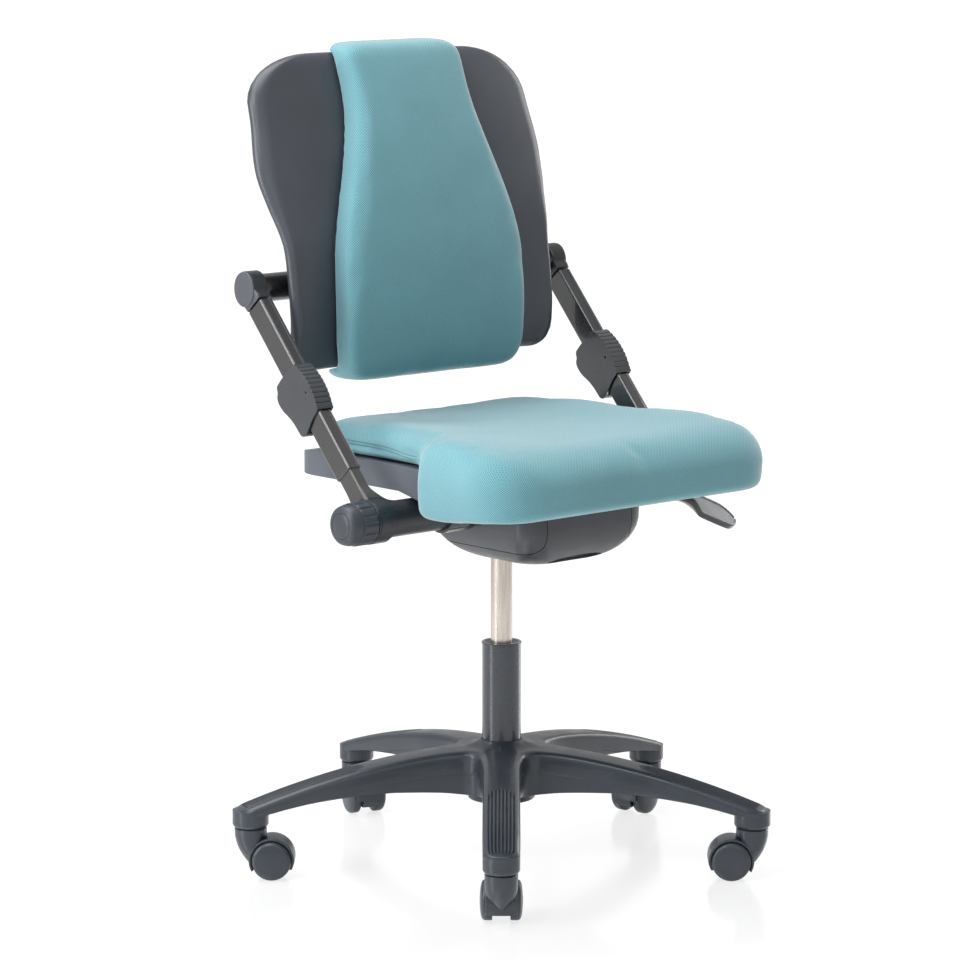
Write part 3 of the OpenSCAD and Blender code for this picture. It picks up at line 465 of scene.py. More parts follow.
def roundedCopy(nodeName, body, material, width, segments=2, shape=None):
    angle = 35
    bm = bmesh.new()
    bm.from_mesh(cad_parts[nodeName].data)
    bmesh.ops.remove_doubles(bm, verts=bm.verts, dist=0.00002)
    bmesh.ops.dissolve_limit(bm, angle_limit=math.radians(1), verts=bm.verts, edges=bm.edges)
    if shape:
        shape(bm)
    smoothShaded(bm, angle)
    obj = added(nodeName + "Rounded", meshOf(bm, nodeName + "Rounded"))
    softenEdges(obj, width, segments, angle)
    declared(obj, material, body, [nodeName])


# Camera, light and the pale studio
studio = {"cameraPlace": (-3.4677, -3.8504, 1.3316), "cameraTarget": (-0.0207, 0.0184, 0.4952),
          "lens": 153.93, "worldLevel": 0.27, "floorShare": 0.74, "glossShare": 0.5, "mirror": 0.2,
          "white": (1, 1, 1, 1)}


def aimed(obj, place, target):
    obj.location = place
    obj.rotation_euler = (Vector(target) - Vector(place)).to_track_quat("-Z", "Y").to_euler()


def softBox(name, place, target, size, watts):
    lamp = bpy.data.lights.new(name, "AREA")
    lamp.shape = "RECTANGLE"
    lamp.size, lamp.size_y = size
    lamp.energy = watts
    aimed(added(name, lamp), place, target)


def seenShare(tree, direct=1.0):  # share of plain white for straight rays, and a lower one for reflected rays
    path = node(tree, "LightPath").outputs
    seen = combined(tree, "MAXIMUM", path["Is Camera Ray"], path["Is Transmission Ray"])
    glossy = combined(tree, "MULTIPLY", path["Is Glossy Ray"], studio["glossShare"])
    return combined(tree, "MAXIMUM", combined(tree, "MULTIPLY", seen, direct), glossy)


scene.view_settings.view_transform = "Standard"
camera = added("Camera", bpy.data.cameras.new("Camera"))
scene.camera = camera
camera.data.lens = studio["lens"]
camera.data.sensor_width = 36
camera.data.clip_end = 60
aimed(camera, studio["cameraPlace"], studio["cameraTarget"])

softBox("TopBox", (-0.5, 0.5, 3.1), (0, 0, 0.5), (2.4, 2.4), 72)
softBox("EdgeBox", (-2.3, -0.7, 2.85), (0, 0, 0.6), (1.3, 1.1), 34)
softBox("LeftBox", (-3.2, 0.9, 1.5), (0, 0, 0.55), (1.0, 2.4), 62)
softBox("FrontBox", (-1.6, -4.2, 2.4), (0, 0, 0.5), (2.0, 1.6), 12)
softBox("RightBox", (3.2, 0.2, 1.3), (0, 0, 0.5), (1.0, 2.2), 26)

world = bpy.data.worlds.new("Studio")
scene.world = world
world.use_nodes = True
tree = world.node_tree
lit = tree.nodes["Background"]
fill(tree, lit, {"Color": studio["white"], "Strength": studio["worldLevel"]})
plain = node(tree, "Background", {"Color": studio["white"], "Strength": 1.0})
both = node(tree, "MixShader", {0: seenShare(tree), 1: lit.outputs[0], 2: plain.outputs[0]})
fill(tree, tree.nodes["World Output"], {"Surface": both.outputs[0]})

floorMaterial, tree, shader = newMaterial("paleFloor", 0.22, specular=0.35)
shader.inputs["Base Color"].default_value = (0.86, 0.86, 0.86, 1)
glow = node(tree, "Emission", {"Color": studio["white"], "Strength": 1.0})
away = node(tree, "VectorMath", {0: node(tree, "TexCoord").outputs["Object"]}, operation="LENGTH")
direct = ranged(tree, away.outputs["Value"], studio["floorShare"], 1.0, 0.5, 2.2)
mixed = node(tree, "MixShader", {0: seenShare(tree, direct), 1: shader.outputs[0], 2: glow.outputs[0]})
mirror = node(tree, "BsdfGlossy", {"Color": (studio["mirror"],) * 3 + (1,), "Roughness": 0.14})
surface = node(tree, "AddShader", {0: mixed.outputs[0], 1: mirror.outputs[0]})
fill(tree, tree.nodes["Material Output"], {"Surface": surface.outputs[0]})
bm = bmesh.new()
bmesh.ops.create_grid(bm, x_segments=4, y_segments=4, size=30)
floor = added("Floor", meshOf(bm, "Floor"))  # a hair under the wheels
floor.location = (0, 0, -0.0005)
floor.data.materials.append(floorMaterial)
print("camera, light and floor set")


# Star base: one open shell grown over ten half arms, then given a wall
base = {"firstArm": -132, "nextArm": 72, "stem": 335, "half": 23.5, "drum": 23, "drumLow": 66.5, "root": 20,
        "hubTop": 155, "hubHole": 26.6, "wall": 3.4, "skirtInset": 3.2, "crownInset": 3.6, "webRadius": 20,
        "webReach": 81.8, "webTurn": 36,
        "rib": {"start": 185, "end": 346, "depth": 2.1, "pitch": 4.5},
        "floor": [(20, 84), (35, 87), (53, 89.5), (69, 93), (85, 95.5), (118, 98), (150, 100), (190, 100),
                  (229, 97.2), (261, 94), (293, 88.7), (315, 83.9), (334, 80.5)],
        "crease": [(20, 123), (51, 121.9), (76, 120.6), (106, 118.1), (136, 116), (166, 112.8), (196, 108.8),
                   (222, 103), (238, 98.2), (261, 95.2), (293, 89.9), (315, 85.1), (334, 81.7)]}
armTip = base["stem"] + base["drum"]


def armCrest(r):  # height of the arm's middle line at distance r from the column
    r = max(r, base["root"])
    collar = 7 * max(0, 1 - max(0, r - 27) / 19) ** 2
    return base["hubTop"] - 4 - 62 * ((r - base["root"]) / 334) ** 1.9 + collar


def armSide(r):
    return (base["half"] - 0.5 * ease((r - 290) / 45)
            + 19 * (1 - min(1, max(0, r - base["root"]) / 105)) ** 2.6)


def ribRise(s, r):  # height of the foot rest's ribs at distance s from the arm's middle
    rib = base["rib"]
    fade = ease((r - rib["start"] - 0.06 * s * s) / 4) * ease((rib["end"] - r) / 3)
    across = s / rib["pitch"] - round(s / rib["pitch"])
    if s > 4.2 * rib["pitch"]:
        return 0
    return fade * (0.35 if abs(across) < 0.1 else -rib["depth"] if abs(across) > 0.36 else -0.05)


armColumns = [0]  # distances of the mesh lines from the arm's middle: rib crowns, rib edges, groove floors
for i in range(4):
    armColumns += [base["rib"]["pitch"] * (i + share) for share in (0.24, 0.37, 0.63, 0.76)]
    if i < 3:
        armColumns.append(base["rib"]["pitch"] * (i + 1))


def halfArm(bm):
    tilt = math.radians(base["webTurn"])
    centre = (base["webReach"] * math.cos(tilt), base["webReach"] * math.sin(tilt))
    stations = []  # point on the spine, point on the outline, inward direction, distance along
    for i in range(8):
        a = math.radians(-144 + 42 * i / 7)
        edge = (centre[0] + base["webRadius"] * math.cos(a), centre[1] + base["webRadius"] * math.sin(a))
        b = tilt * (1 - i / 7)
        stations.append(((base["hubHole"] * math.cos(b), base["hubHole"] * math.sin(b)), edge,
                         (math.cos(a), math.sin(a)), None))
    spines = [(68, 37), (76, 50), (86, 66), (98, 84), (112, 102), (130, 124), (150, 147), (168, 167)]
    spines += [(r, r) for r in (182, 185, 187, 190, 194, 198, 204, 215, 226, 235, 250, 265, 280, 295, 308,
                                320, 333)]
    for r, spine in spines:
        stations.append(((spine, 0), (r, armSide(r)), (0, -1), r))
    for degrees in (1, 8, 16, 21, 25, 29, 38, 48, 58, 67, 75, 81, 85):
        a = math.radians(degrees)
        r = base["stem"] + base["drum"] * math.sin(a)
        stations.append(((r - base["crownInset"] * math.sin(a), 0), (r, base["drum"] * math.cos(a)),
                         (-math.sin(a), -math.cos(a)), r))
    previous = None
    for (px, py), (qx, qy), (nx, ny), r in stations:
        ex, ey = qx + nx * base["crownInset"], qy + ny * base["crownInset"]
        rho = math.hypot(qx, qy)
        end = 0 if r is None else rounding(armTip - r, 9, 3)
        row = []
        for s in armColumns:
            share = s / 19.9
            x, y = px + (ex - px) * share, py + (ey - py) * share
            rise = 0 if r is None else ribRise(s, r)
            row.append((x, y, armCrest(math.hypot(x, y)) - end - 1.0 * share ** 2 + rise))
        top = armCrest(rho) - end
        sides = [(3.6, top - 1.9), (2.2, top - 2.9), (1.0, top - 4.6), (0.3, top - 6.8), (0, top - 9)]
        if r is None or r < base["stem"]:
            crease, low = lookup(rho, base["crease"]), lookup(rho, base["floor"])
            web, skirt = crease - low, base["skirtInset"]
            under = [(0, crease + 1.6), (0.5, crease + 0.3), (skirt - 0.4, crease - min(0.5, 0.3 * web)),
                     (skirt, crease - min(1.6, 0.5 * web)), (skirt + 0.5, low + min(1.5, 0.3 * web)),
                     (skirt + 1.3, low)]
        else:
            low = base["drumLow"]
            under = [(0, low + 5), (0, low + 3.4), (0.3, low + 2.7), (1.0, low + 1.6), (1.7, low + 0.6),
                     (2.3, low)]
        for inset, z in sides + [(inset, min(z, top - 9)) for inset, z in under]:
            row.append((qx + nx * inset, qy + ny * inset, z))
        verts = [bm.verts.new(p) for p in row]
        line = [bm.edges.new(pair) for pair in zip(verts, verts[1:])]
        if previous:
            bmesh.ops.bridge_loops(bm, edges=previous + line)
        previous = line
    return row


def makeBase():
    bm = bmesh.new()
    tip = halfArm(bm)
    bmesh.ops.mirror(bm, geom=everything(bm), axis="Y", merge_dist=0.01)
    bm.faces.new([bm.verts.new(p) for p in tip] + [bm.verts.new((x, -y, z)) for x, y, z in reversed(tip)])
    bmesh.ops.remove_doubles(bm, verts=bm.verts, dist=0.02)
    arm = everything(bm)
    turnAll(bm, base["firstArm"])
    for k in range(1, 5):
        copy = bmesh.ops.duplicate(bm, geom=arm)["geom"]
        turnAll(bm, base["nextArm"] * k, verts=[g for g in copy if isinstance(g, bmesh.types.BMVert)])
    obj = piece(bm, "starBase", basePlastic, "base", "base_plastic", ["star_base"], weld=0.05, sharp=33)
    wall = obj.modifiers.new("Wall", "SOLIDIFY")
    wall.thickness = base["wall"] * mm
    wall.offset = -1


def makeBaseInside():  # hub tube, stem sockets, corner blocks and the ribs under the arms
    bm = solid(turned, [(80, 25.4), (80, 42), (81, 43), (120, 41), (148, 30), (150, 27), (150, 25.4),
                        (80, 25.4)], 72, upright)
    for k in range(5):
        low = base["drumLow"]
        part = solid(turned, [(low + 0.4, 5.6), (low + 0.1, 6.2), (low + 0.1, 20.7), (low + 0.7, 21.3),
                              (low + 1.7, 22), (low + 2.8, 22.7), (low + 3.6, 22.95), (88, 22.95), (90, 5.6),
                              (low + 0.4, 5.6)], 72, upright)
        shift(part, base["stem"], 0, 0)
        for r in (100, 152, 204, 256):
            half, low, top = armSide(r) - 5, lookup(r, base["floor"]) + 1, armCrest(r)
            prism(part, [(-half, low), (half, low), (half, top - 12), (half - 6, top - 5),
                         (-half + 6, top - 5), (-half, top - 12)], r - 1.2, r + 1.2)
        boss = solid(prism, [(40, -8.5), (57.5, -8.5), (57.5, 8.5), (40, 8.5)], 96, 123.5, "Z")
        faceOut(boss)
        boss.normal_update()
        bevelled(boss, [e for e in boss.edges if e.calc_face_angle(0) > math.radians(40)], 1.6, 3)
        merge(part, boss, rotated(base["webTurn"], "Z"))
        spine = [(r, lookup(r, base["floor"]) + 1) for r in (40, 100, 170, 240, 312)]
        prism(part, spine + [(r, armCrest(r) - 5) for r in (312, 250, 150, 46)], -1.2, 1.2, "Y")
        faceOut(part)
        turnAll(part, base["firstArm"] + base["nextArm"] * k)
        pour(bm, part)
    piece(bm, "starBaseInside", basePlastic, "base", "base_plastic", ["star_base"], weld=0.001)


# a thin dark ring round the column's foot, where the column enters the hub
def makeFootRing():
    bm = solid(turned, [(154.6, 24.6), (154.6, 26.6), (155.4, 27), (157.4, 26.6), (158.6, 25.7),
                        (158.6, 24.6), (154.6, 24.6)], 72, upright)
    piece(bm, "footRing", rubber, "base", "rubber", weld=0.001)


makeBase()
makeBaseInside()
makeFootRing()
print("star base grown")


# Casters: a hood on a neck and two wheels
caster = {"radius": 25, "inner": 10.6, "width": 16, "trail": 27, "gap": 1.0, "wall": 3.0, "fenderHalf": 19.5,
          "turn": [48, 138, 193, 250, -42]}
fenderIn = caster["radius"] + caster["gap"]
fenderOut = fenderIn + caster["wall"]


def casterPlace(k):
    arm = base["firstArm"] + base["nextArm"] * k
    return rotated(arm, "Z") @ shifted(base["stem"]) @ rotated(caster["turn"][k] - arm, "Z")


def addFender(bm):
    half = caster["fenderHalf"]
    rim = [(fenderIn, half - 0.5), (fenderIn + 0.5, half)] + arc(fenderOut - 1.3, half - 1.3, 1.3, 90, 0, 4)
    face = bm.faces.new([bm.verts.new((r, y, 0)) for r, y in rim + [(r, -y) for r, y in reversed(rim)]])
    turnAll(bm, 8, "Y")
    bmesh.ops.spin(bm, geom=[face], cent=(0, 0, 0), axis=(0, 1, 0), angle=-math.radians(216), steps=44)
    shift(bm, caster["trail"], 0, caster["radius"])


def addWeb(bm):
    half = caster["inner"] - 0.35
    prism(bm, arc(caster["trail"], caster["radius"], fenderOut - 0.4, -28, 208, 48), -half, half, "Y")


def addNeck(bm):
    trail, axle, steps = caster["trail"], caster["radius"], 56
    sizes = [(65, -19.7, 19.7, 19.7), (64.2, -20.5, 20.5, 20.5), (55, -20.2, 20.5, 20.5),
             (48.5, -18.9, 20.2, 20.3), (43, -17.2, 19.8, 19.9), (39, -15.7, 19.2, 19.2),
             (35.5, -14.0, 18.6, 18.2), (32, -12.1, 17.8, 16.4), (29, -10.3, 17, 14.4),
             (26.4, -8.6, 16, 12.0), (24, -6.9, 15, 9.6), (22, -5.4, 14, 7.2), (20.4, -4.1, 13, 4.6),
             (19.4, -3.2, 12, 2.2)]
    loft(bm, [[(front + a + a * math.cos(t * tau / steps), b * math.sin(t * tau / steps), z)
               for t in range(steps)] for z, front, a, b in sizes])
    keep = fenderIn + 1.4
    for v in bm.verts:  # the neck ends in the fender, outside the wheels
        dz = v.co.z - axle
        if abs(dz) < keep and v.co.x > trail - math.sqrt(keep ** 2 - dz ** 2):
            v.co.x = trail - math.sqrt(keep ** 2 - dz ** 2)
            v.co.y = max(-caster["fenderHalf"] + 1, min(caster["fenderHalf"] - 1, v.co.y))


def addWheel(bm, side):
    r, w = caster["radius"], caster["width"]
    turned(bm, [(0, 0.01), (0, r - 6), (0.5, r - 5), (0.5, r - 0.9), (1.0, r - 0.25), (1.8, r), (w - 7.2, r),
                (w - 5.6, r - 0.3), (w - 4.3, r - 0.9), (w - 3.3, r - 1.9), (w - 2.5, r - 3.3),
                (w - 1.9, r - 5), (w - 1.3, r - 7.6), (w - 0.75, r - 11.5), (w - 0.3, r - 17),
                (w - 0.05, r - 21.5), (w, 0.01)], 72, forward)
    shift(bm, 0, caster["inner"], 0)
    bmesh.ops.scale(bm, verts=bm.verts, vec=(1, side, 1))
    shift(bm, caster["trail"], 0, caster["radius"])


for k in range(5):
    number = k + 1
    bm = bmesh.new()
    for add in (addFender, addWeb, addNeck):
        part = solid(add)
        faceOut(part)
        pour(bm, part)
    piece(bm, f"casterHood{number}", basePlastic, f"caster_{number}", "base_plastic",
          [f"caster_hood_{number}"], casterPlace(k), weld=0.001, sharp=32, turnOut=False)
    for side, word in ((1, "left"), (-1, "right")):
        wheel = f"wheel_{number}_{word}"
        piece(solid(addWheel, side), f"wheel{number}{word.title()}", basePlastic, wheel, "dark_plastic",
              [wheel], casterPlace(k), weld=0.03, sharp=42)
print("casters made")


# Side bars: everything in a bar's own frame, Z up the bar and -Y its front
bars = {"lean": 41.7, "length": 358, "offset": 256, "width": 20, "depth": 32, "wall": 1.7, "bottom": 71,
        "pivot": (0, -50, 477), "cross": 22.5, "collar": (245, 269), "collarRadius": 27.5,
        "hub": (245.2, 266), "hubRadius": 23, "hubOval": 0.13, "tubeWidth": 16, "tubeDepth": 28}


def barPlace(side):
    return Matrix.Scale(side, 4, (1, 0, 0)) @ shifted(*bars["pivot"]) @ rotated(-bars["lean"], "X")


def barPiece(bm, side, name, material, body, slot, nodes, **how):  # braces stand for the side's name
    word = "left" if side > 0 else "right"
    return piece(bm, name + word.title(), material, body.format(word), slot, [n.format(word) for n in nodes],
                 barPlace(side), **how)


def boxRing(width, depth, radius, z, cx, steps=4):
    return [(x, y, z) for x, y in roundRect(width, depth, radius, steps, cx)]


def channelRing(z, inset=0.0):  # section of a sleeve, with a shallow channel down its front
    w, d, r = bars["width"] / 2 - inset, bars["depth"] / 2 - inset, 3.4
    front = [(-4.9, -d), (-4.3, -d + 0.9), (4.3, -d + 0.9), (4.9, -d)]
    ring = (arc(w - r, -d + r, r, -90, 0, 5) + arc(w - r, d - r, r, 0, 90, 5)
            + arc(-w + r, d - r, r, 90, 180, 5) + arc(-w + r, -d + r, r, 180, 270, 5) + front)
    return [(bars["offset"] + x, y, z) for x, y in ring]


def makeSleeve(side):
    low, top = bars["bottom"], bars["length"] - 27
    bm = solid(loft, [channelRing(z, inset) for z, inset in [
        (low, 0.9), (low + 0.35, 0.3), (low + 0.9, 0), (226, 0), (top - 0.3, 0), (top, 0.4)]], capped=False)
    width, depth = [bars[size] - 2 * bars["wall"] for size in ("width", "depth")]
    inner = solid(loft, [boxRing(width, depth, 2.4, z, bars["offset"]) for z in (low + 0.2, 250)],
                  capped=False)
    bmesh.ops.reverse_faces(inner, faces=inner.faces)
    pour(bm, inner)
    ends = [e for e in bm.edges if e.is_boundary and all(v.co.z < low + 0.5 for v in e.verts)]
    bmesh.ops.bridge_loops(bm, edges=ends)
    obj = barPiece(bm, side, "barSleeve", barPaint, "back_frame", "bar_metal", ["sleeve_{}"], sharp=32)
    front = -bars["depth"] / 2
    secondFinish(obj, barPlace(side), channelPaint,
                 lambda c: front - 0.1 < c.y < front + 1.2 and abs(c.x - bars["offset"]) < 7 and c.z > 226)
    evenShading(obj)


def makeHub(side):  # moulded hub at the top of a bar, with the bar's socket and the bare round cap
    low, high = bars["hub"]
    r, top = bars["hubRadius"], bars["length"]
    bm = solid(turned, [(low, 18.1), (low, r - 1.4), (low + 0.5, r - 0.4), (low + 1.4, r), (high - 0.8, r),
                        (high - 0.2, r - 0.3), (high, r - 0.8), (high, 18.1), (low, 18.1)], 72)
    c = r - 0.5
    rim = [(1.3 + b, a) for a, b in arc(c - 1.5, 0, 1.5, 8, 78, 5)]
    merge(bm, solid(turned, [(0.15, 0.01), (0.15, c - 0.6), (0.5, c), (1.3, c)] + rim + [
        (2.75, c - 3.2), (2.45, c - 4.0), (2.5, c * 0.5), (2.6, 0.01)], 72), shifted(high))
    level = Vector((0, math.cos(math.radians(bars["lean"])), math.sin(math.radians(bars["lean"]))))
    for v in bm.verts:  # narrower from front to rear than it is tall
        if math.hypot(v.co.y, v.co.z) > 18.5:
            v.co -= level * level.dot(v.co) * bars["hubOval"]
    shift(bm, 0, 0, top)
    socket = solid(loft, [
        boxRing(bars["width"] + 2 * grow, bars["depth"] + 2 * grow, 4, top - back, bars["offset"] - 0.3, 6)
        for back, grow in [(24.4, 0), (24.1, 0.5), (23.2, 0.9), (19, 1.3), (12, 1.8), (4, 2.2), (-4, 2.2)]])
    for v in socket.verts:  # the socket ends inside the hub
        reach = math.hypot(v.co.y, v.co.z - top)
        if v.co.z > top - 14 and reach > r - 4:
            v.co.y *= (r - 4) / reach
    merge(bm, socket)
    obj = barPiece(bm, side, "barHub", tubePaint, "back_frame", "base_plastic", ["sleeve_{}", "cap_{}"],
                   turnOut=False, weld=0.001, sharp=35)
    secondFinish(obj, barPlace(side), capPlastic, lambda c: c.x > high + 0.1)
    evenShading(obj)


def makeElbow(side):
    low, high = bars["collar"]
    r, cross = bars["collarRadius"], bars["cross"]
    bm = solid(turned, [(low, 22.6), (low, r - 1.2), (low + 0.4, r - 0.35), (low + 1.2, r), (high - 3.4, r),
                        (high - 3.0, r - 0.7), (high - 2.2, r - 0.7), (high - 1.8, r), (high - 0.5, r),
                        (high, r - 0.5), (high, 10.1), (low + 2, 10.1), (low, 22.6)], 80)
    step = [(low - 5.2, 22.6), (low - 5.2, 24.2), (low - 4.6, 24.9), (low, 24.9), (low, 22.6),
            (low - 5.2, 22.6)]
    merge(bm, solid(turned, step, 80))  # stepped ring on the inner side of the collar
    edge, outer = [bars["offset"] + half * bars["tubeWidth"] / 2 for half in (-1, 1)]
    rings = []
    for z in (4, 12, 18, 21, 22.6, 23.6, 25, 27, 30, 34, 39, 44, 50, 58, 66):
        inside = edge - 26 + math.sqrt(max(0, 27 ** 2 - (50 - z) ** 2)) if z < 50 else edge
        inside = min(edge, max(edge - 25, inside)) if z > 22.6 else edge - 26
        swell = 4.2 * (1 - ease((z - 8) / 42))
        wide = outer + swell * 0.9
        rings.append(boxRing(wide - inside, bars["tubeDepth"] + 2 * swell, min(5.5, 3 + swell * 0.6), z,
                             (wide + inside) / 2, 6))
    rings.append(boxRing(bars["tubeWidth"], bars["tubeDepth"], 3, 200, bars["offset"], 6))
    tube = solid(loft, rings)
    for v in tube.verts:  # its foot wraps round the cross tube and runs out on it in a round fillet
        reach = wanted = math.hypot(v.co.y, v.co.z)
        out = min(26, max(0, v.co.x - edge + 26))
        if v.co.x < edge - 0.5:
            wanted = min(reach, cross + 27.4 - math.sqrt(27 ** 2 - out ** 2))
        if v.co.x < high:
            wanted = max(wanted, cross + 0.25)
        v.co.y *= wanted / reach
        v.co.z *= wanted / reach
    merge(bm, tube)
    obj = barPiece(bm, side, "elbow", elbowPaint, "rocker", "base_plastic", ["elbow_{}"], turnOut=False,
                   weld=0.001, sharp=35)
    secondFinish(obj, barPlace(side), tubePaint, lambda c: math.hypot(c.y, c.z) < r + 1.5 or c.x < edge - 1)
    evenShading(obj)


knob = {"start": 269.3, "end": 311, "radius": 27, "flutes": 15, "fluteDepth": 1.5, "band": 23.5}


def makeKnob(side):
    s, e, r, band = knob["start"], knob["end"], knob["radius"], knob["band"]
    body = [(s, 10.1), (s, r - 1.6), (s + 0.4, r - 0.5), (s + 1.2, r)]
    body += [(s + 1.2 + i * (band - 2.4) / 6, r) for i in range(1, 7)]
    body += [(s + band - 0.4, r - 0.5), (s + band, r - 1.5), (s + band + 0.7, r - 1.5),
             (s + band + 1.1, r - 1.0), (e - 13, r - 1.2), (e - 9, r - 1.9)]
    body += [(a, b) for b, a in arc(r - 9.5, e - 8.6, 7.2, 8, 82, 7)]
    body += [(e - 1.5, r - 10.4), (e - 2.0, r - 11.0), (e - 1.4, r - 11.8), (e - 0.7, r - 16),
             (e - 0.2, r - 22), (e, 0.01)]
    bm = solid(turned, body, 160)
    for v in bm.verts:  # flutes that fade towards both rims of the band
        reach = math.hypot(v.co.y, v.co.z)
        along = (v.co.x - s) / band
        if 0.02 < along < 0.99 and reach > r - 1.2:
            around = math.atan2(v.co.z, v.co.y) * knob["flutes"]
            dip = max(0, math.cos(around) - 0.25) / 0.75
            fade = ease(along / 0.14) * ease((1 - along) / 0.1)
            size = (reach - knob["fluteDepth"] * ease(dip) * fade) / reach
            v.co.y *= size
            v.co.z *= size
    for i in range(3):  # index ticks beside the band
        tick = solid(prism, [(-0.35, 0), (0.35, 0), (0.35, 0.5), (-0.35, 0.5)], s + band + 2, s + band + 5.4)
        merge(bm, tick, rotated(22 + 9 * i, "X") @ shifted(0, 0, r - 1.35))
    barPiece(bm, side, "knob", darkPlastic, "knob_{}", "dark_plastic", ["knob_{}"], weld=0.002, sharp=36)


clamp = {"half": 13, "ribs": 10, "ribDepth": 1.1, "pin": (-12.8, 188), "low": 160.5, "high": 227.5,
         "crown": -24.9, "bulge": 6.9}


def clampFront():  # ribbed front of the clamp, an arc from its top to its bottom
    half = (clamp["high"] - clamp["low"]) / 2
    radius = (half ** 2 + clamp["bulge"] ** 2) / (2 * clamp["bulge"])
    centre = (clamp["crown"] + radius, (clamp["high"] + clamp["low"]) / 2)
    reach = math.degrees(math.asin(half / radius))
    steps = clamp["ribs"] * 12
    out = []
    for i in range(steps + 1):
        a = math.radians(180 - reach + 2 * reach * i / steps)
        near = abs((i / 12 + 0.5) % 1 - 0.5)  # distance from the next groove, in ribs
        r = radius - clamp["ribDepth"] * (1 - ease(near / 0.2)) * min(1, i / 6, (steps - i) / 6)
        out.append((centre[0] + r * math.cos(a), centre[1] + r * math.sin(a)))
    return out


def clampOutline():  # seen from the side, in the bar's own frame
    foot = arc(-16.6, 161.3, 2.4, 195, 250, 4) + [(-2, 156.2), (16, 150.2)] + arc(23.5, 156, 8, 252, 352, 9)
    rear = [(31.8, 164), (32.2, 171), (33.8, 180), (36.3, 188), (38.8, 195), (40.1, 202), (40.2, 208.5),
            (39, 213.8), (36.4, 217.4), (33.4, 219.4), (31.7, 222), (30.4, 225.2), (27.6, 227.4)]
    top = [(17.8, 228.7), (-1, 229.9), (-12.4, 229.8)] + arc(-14.4, 227, 2.8, 98, 158, 4)
    return clampFront() + foot + rear + top


def makeClamp(side):
    low, high = bars["offset"] - clamp["half"], bars["offset"] + clamp["half"]
    bm = solid(prism, clampOutline(), low, high)
    faceOut(bm)
    bevelled(bm, [e for e in bm.edges if any(all(abs(v.co.x - face) < 0.01 for v in e.verts)
                                             for face in (low, high))], 2.0, 4)
    obj = barPiece(bm, side, "clamp", clampPlastic, "clamp_{}", "dark_plastic", ["clamp_{}"], sharp=40)
    hollow = solid(loft, [[(bars["offset"] + x, y, z) for x, y in
                           roundRect(bars["width"] + 1, 35.4, 3, 4, 0, 0.3)] for z in (130, 196, 240)])
    pin = solid(turned, [(low - 3, 0.01), (low - 3, 1.8), (high + 3, 1.8), (high + 3, 0.01)], 24)
    shift(pin, 0, *clamp["pin"])
    carve(obj, [loose(cutter, barPlace(side)) for cutter in (hollow, pin)])
    evenShading(obj)


for side in (1, -1):
    for make in (makeSleeve, makeHub, makeElbow, makeKnob, makeClamp):
        make(side)
print("side bars made")


# Housing of the mechanism: a tray and two side covers cut from one smooth form
housing = {"half": 103, "top": 484, "bottom": 406, "front": -165, "rear": 34, "corner": 31, "nose": 52,
           "edge": 72, "sill": 426, "gripLean": 26, "gripSize": (46, 13)}


def housingRing(z, d):
    h = housing
    bottom = h["bottom"] + d
    low = max(0.0, bottom + 59 - z)
    half = h["half"] - 60 + math.sqrt(max(0, 3600 - min(low, 59.4) ** 2)) - d
    nose, tail = max(0, bottom + h["nose"] - z), max(0, bottom + 60 - z)
    front = h["front"] + d + h["nose"] - math.sqrt(max(0, h["nose"] ** 2 - nose ** 2))
    rear = h["rear"] - d - 60 + math.sqrt(max(0, 3600 - tail ** 2))
    rf = max(6, h["corner"] - d)
    rr = max(6, 22 - d)
    span = arc(half - rf, front + rf, rf, -90, 0, 10) + arc(half - rr, rear - rr, rr, 0, 90, 8)
    span += arc(-half + rr, rear - rr, rr, 90, 180, 8) + arc(-half + rf, front + rf, rf, 180, 270, 10)
    return [(x, y, z) for x, y in span]


def housingForm(d, top=0):
    low = housing["bottom"] + d
    steps = (0.02, 0.5, 1.6, 3.6, 6.4, 10, 14.5, 20, 26, 33, 41, 50, 60)
    return solid(loft, [housingRing(z, d) for z in [low + a for a in steps] + [housing["top"] + top]])


def coverRegion(gap, side):  # outside the corner band and above the sill
    e, s = housing["edge"] + gap, housing["sill"] + gap
    outline = [(120, 500), (e, 500)] + arc(e + 18, s + 18, 18, 180, 270, 8) + [(120, s)]
    mirrored = [(x * side, z) for x, z in outline]
    return loose(solid(prism, mirrored, housing["front"] - 8, housing["rear"] + 8, "Y"))


def openings():  # for the cross tube, the paddle and two notches in the right rim
    tube = solid(turned, [(-140, 0.01), (-140, 23.5), (140, 23.5), (140, 0.01)])
    shift(tube, *bars["pivot"])
    cutters = [tube, solid(prism, [(78, -135.5), (78, -120.5), (118, -120.5), (118, -135.5)], 466, 506, "Z")]
    for y in (-78, -140):
        notch = solid(turned, [(-104, 0.01), (-104, 11), (-80, 11), (-80, 0.01)], 48)
        shift(notch, 0, y, housing["top"] + 4)
        cutters.append(notch)
    return [loose(bm) for bm in cutters]


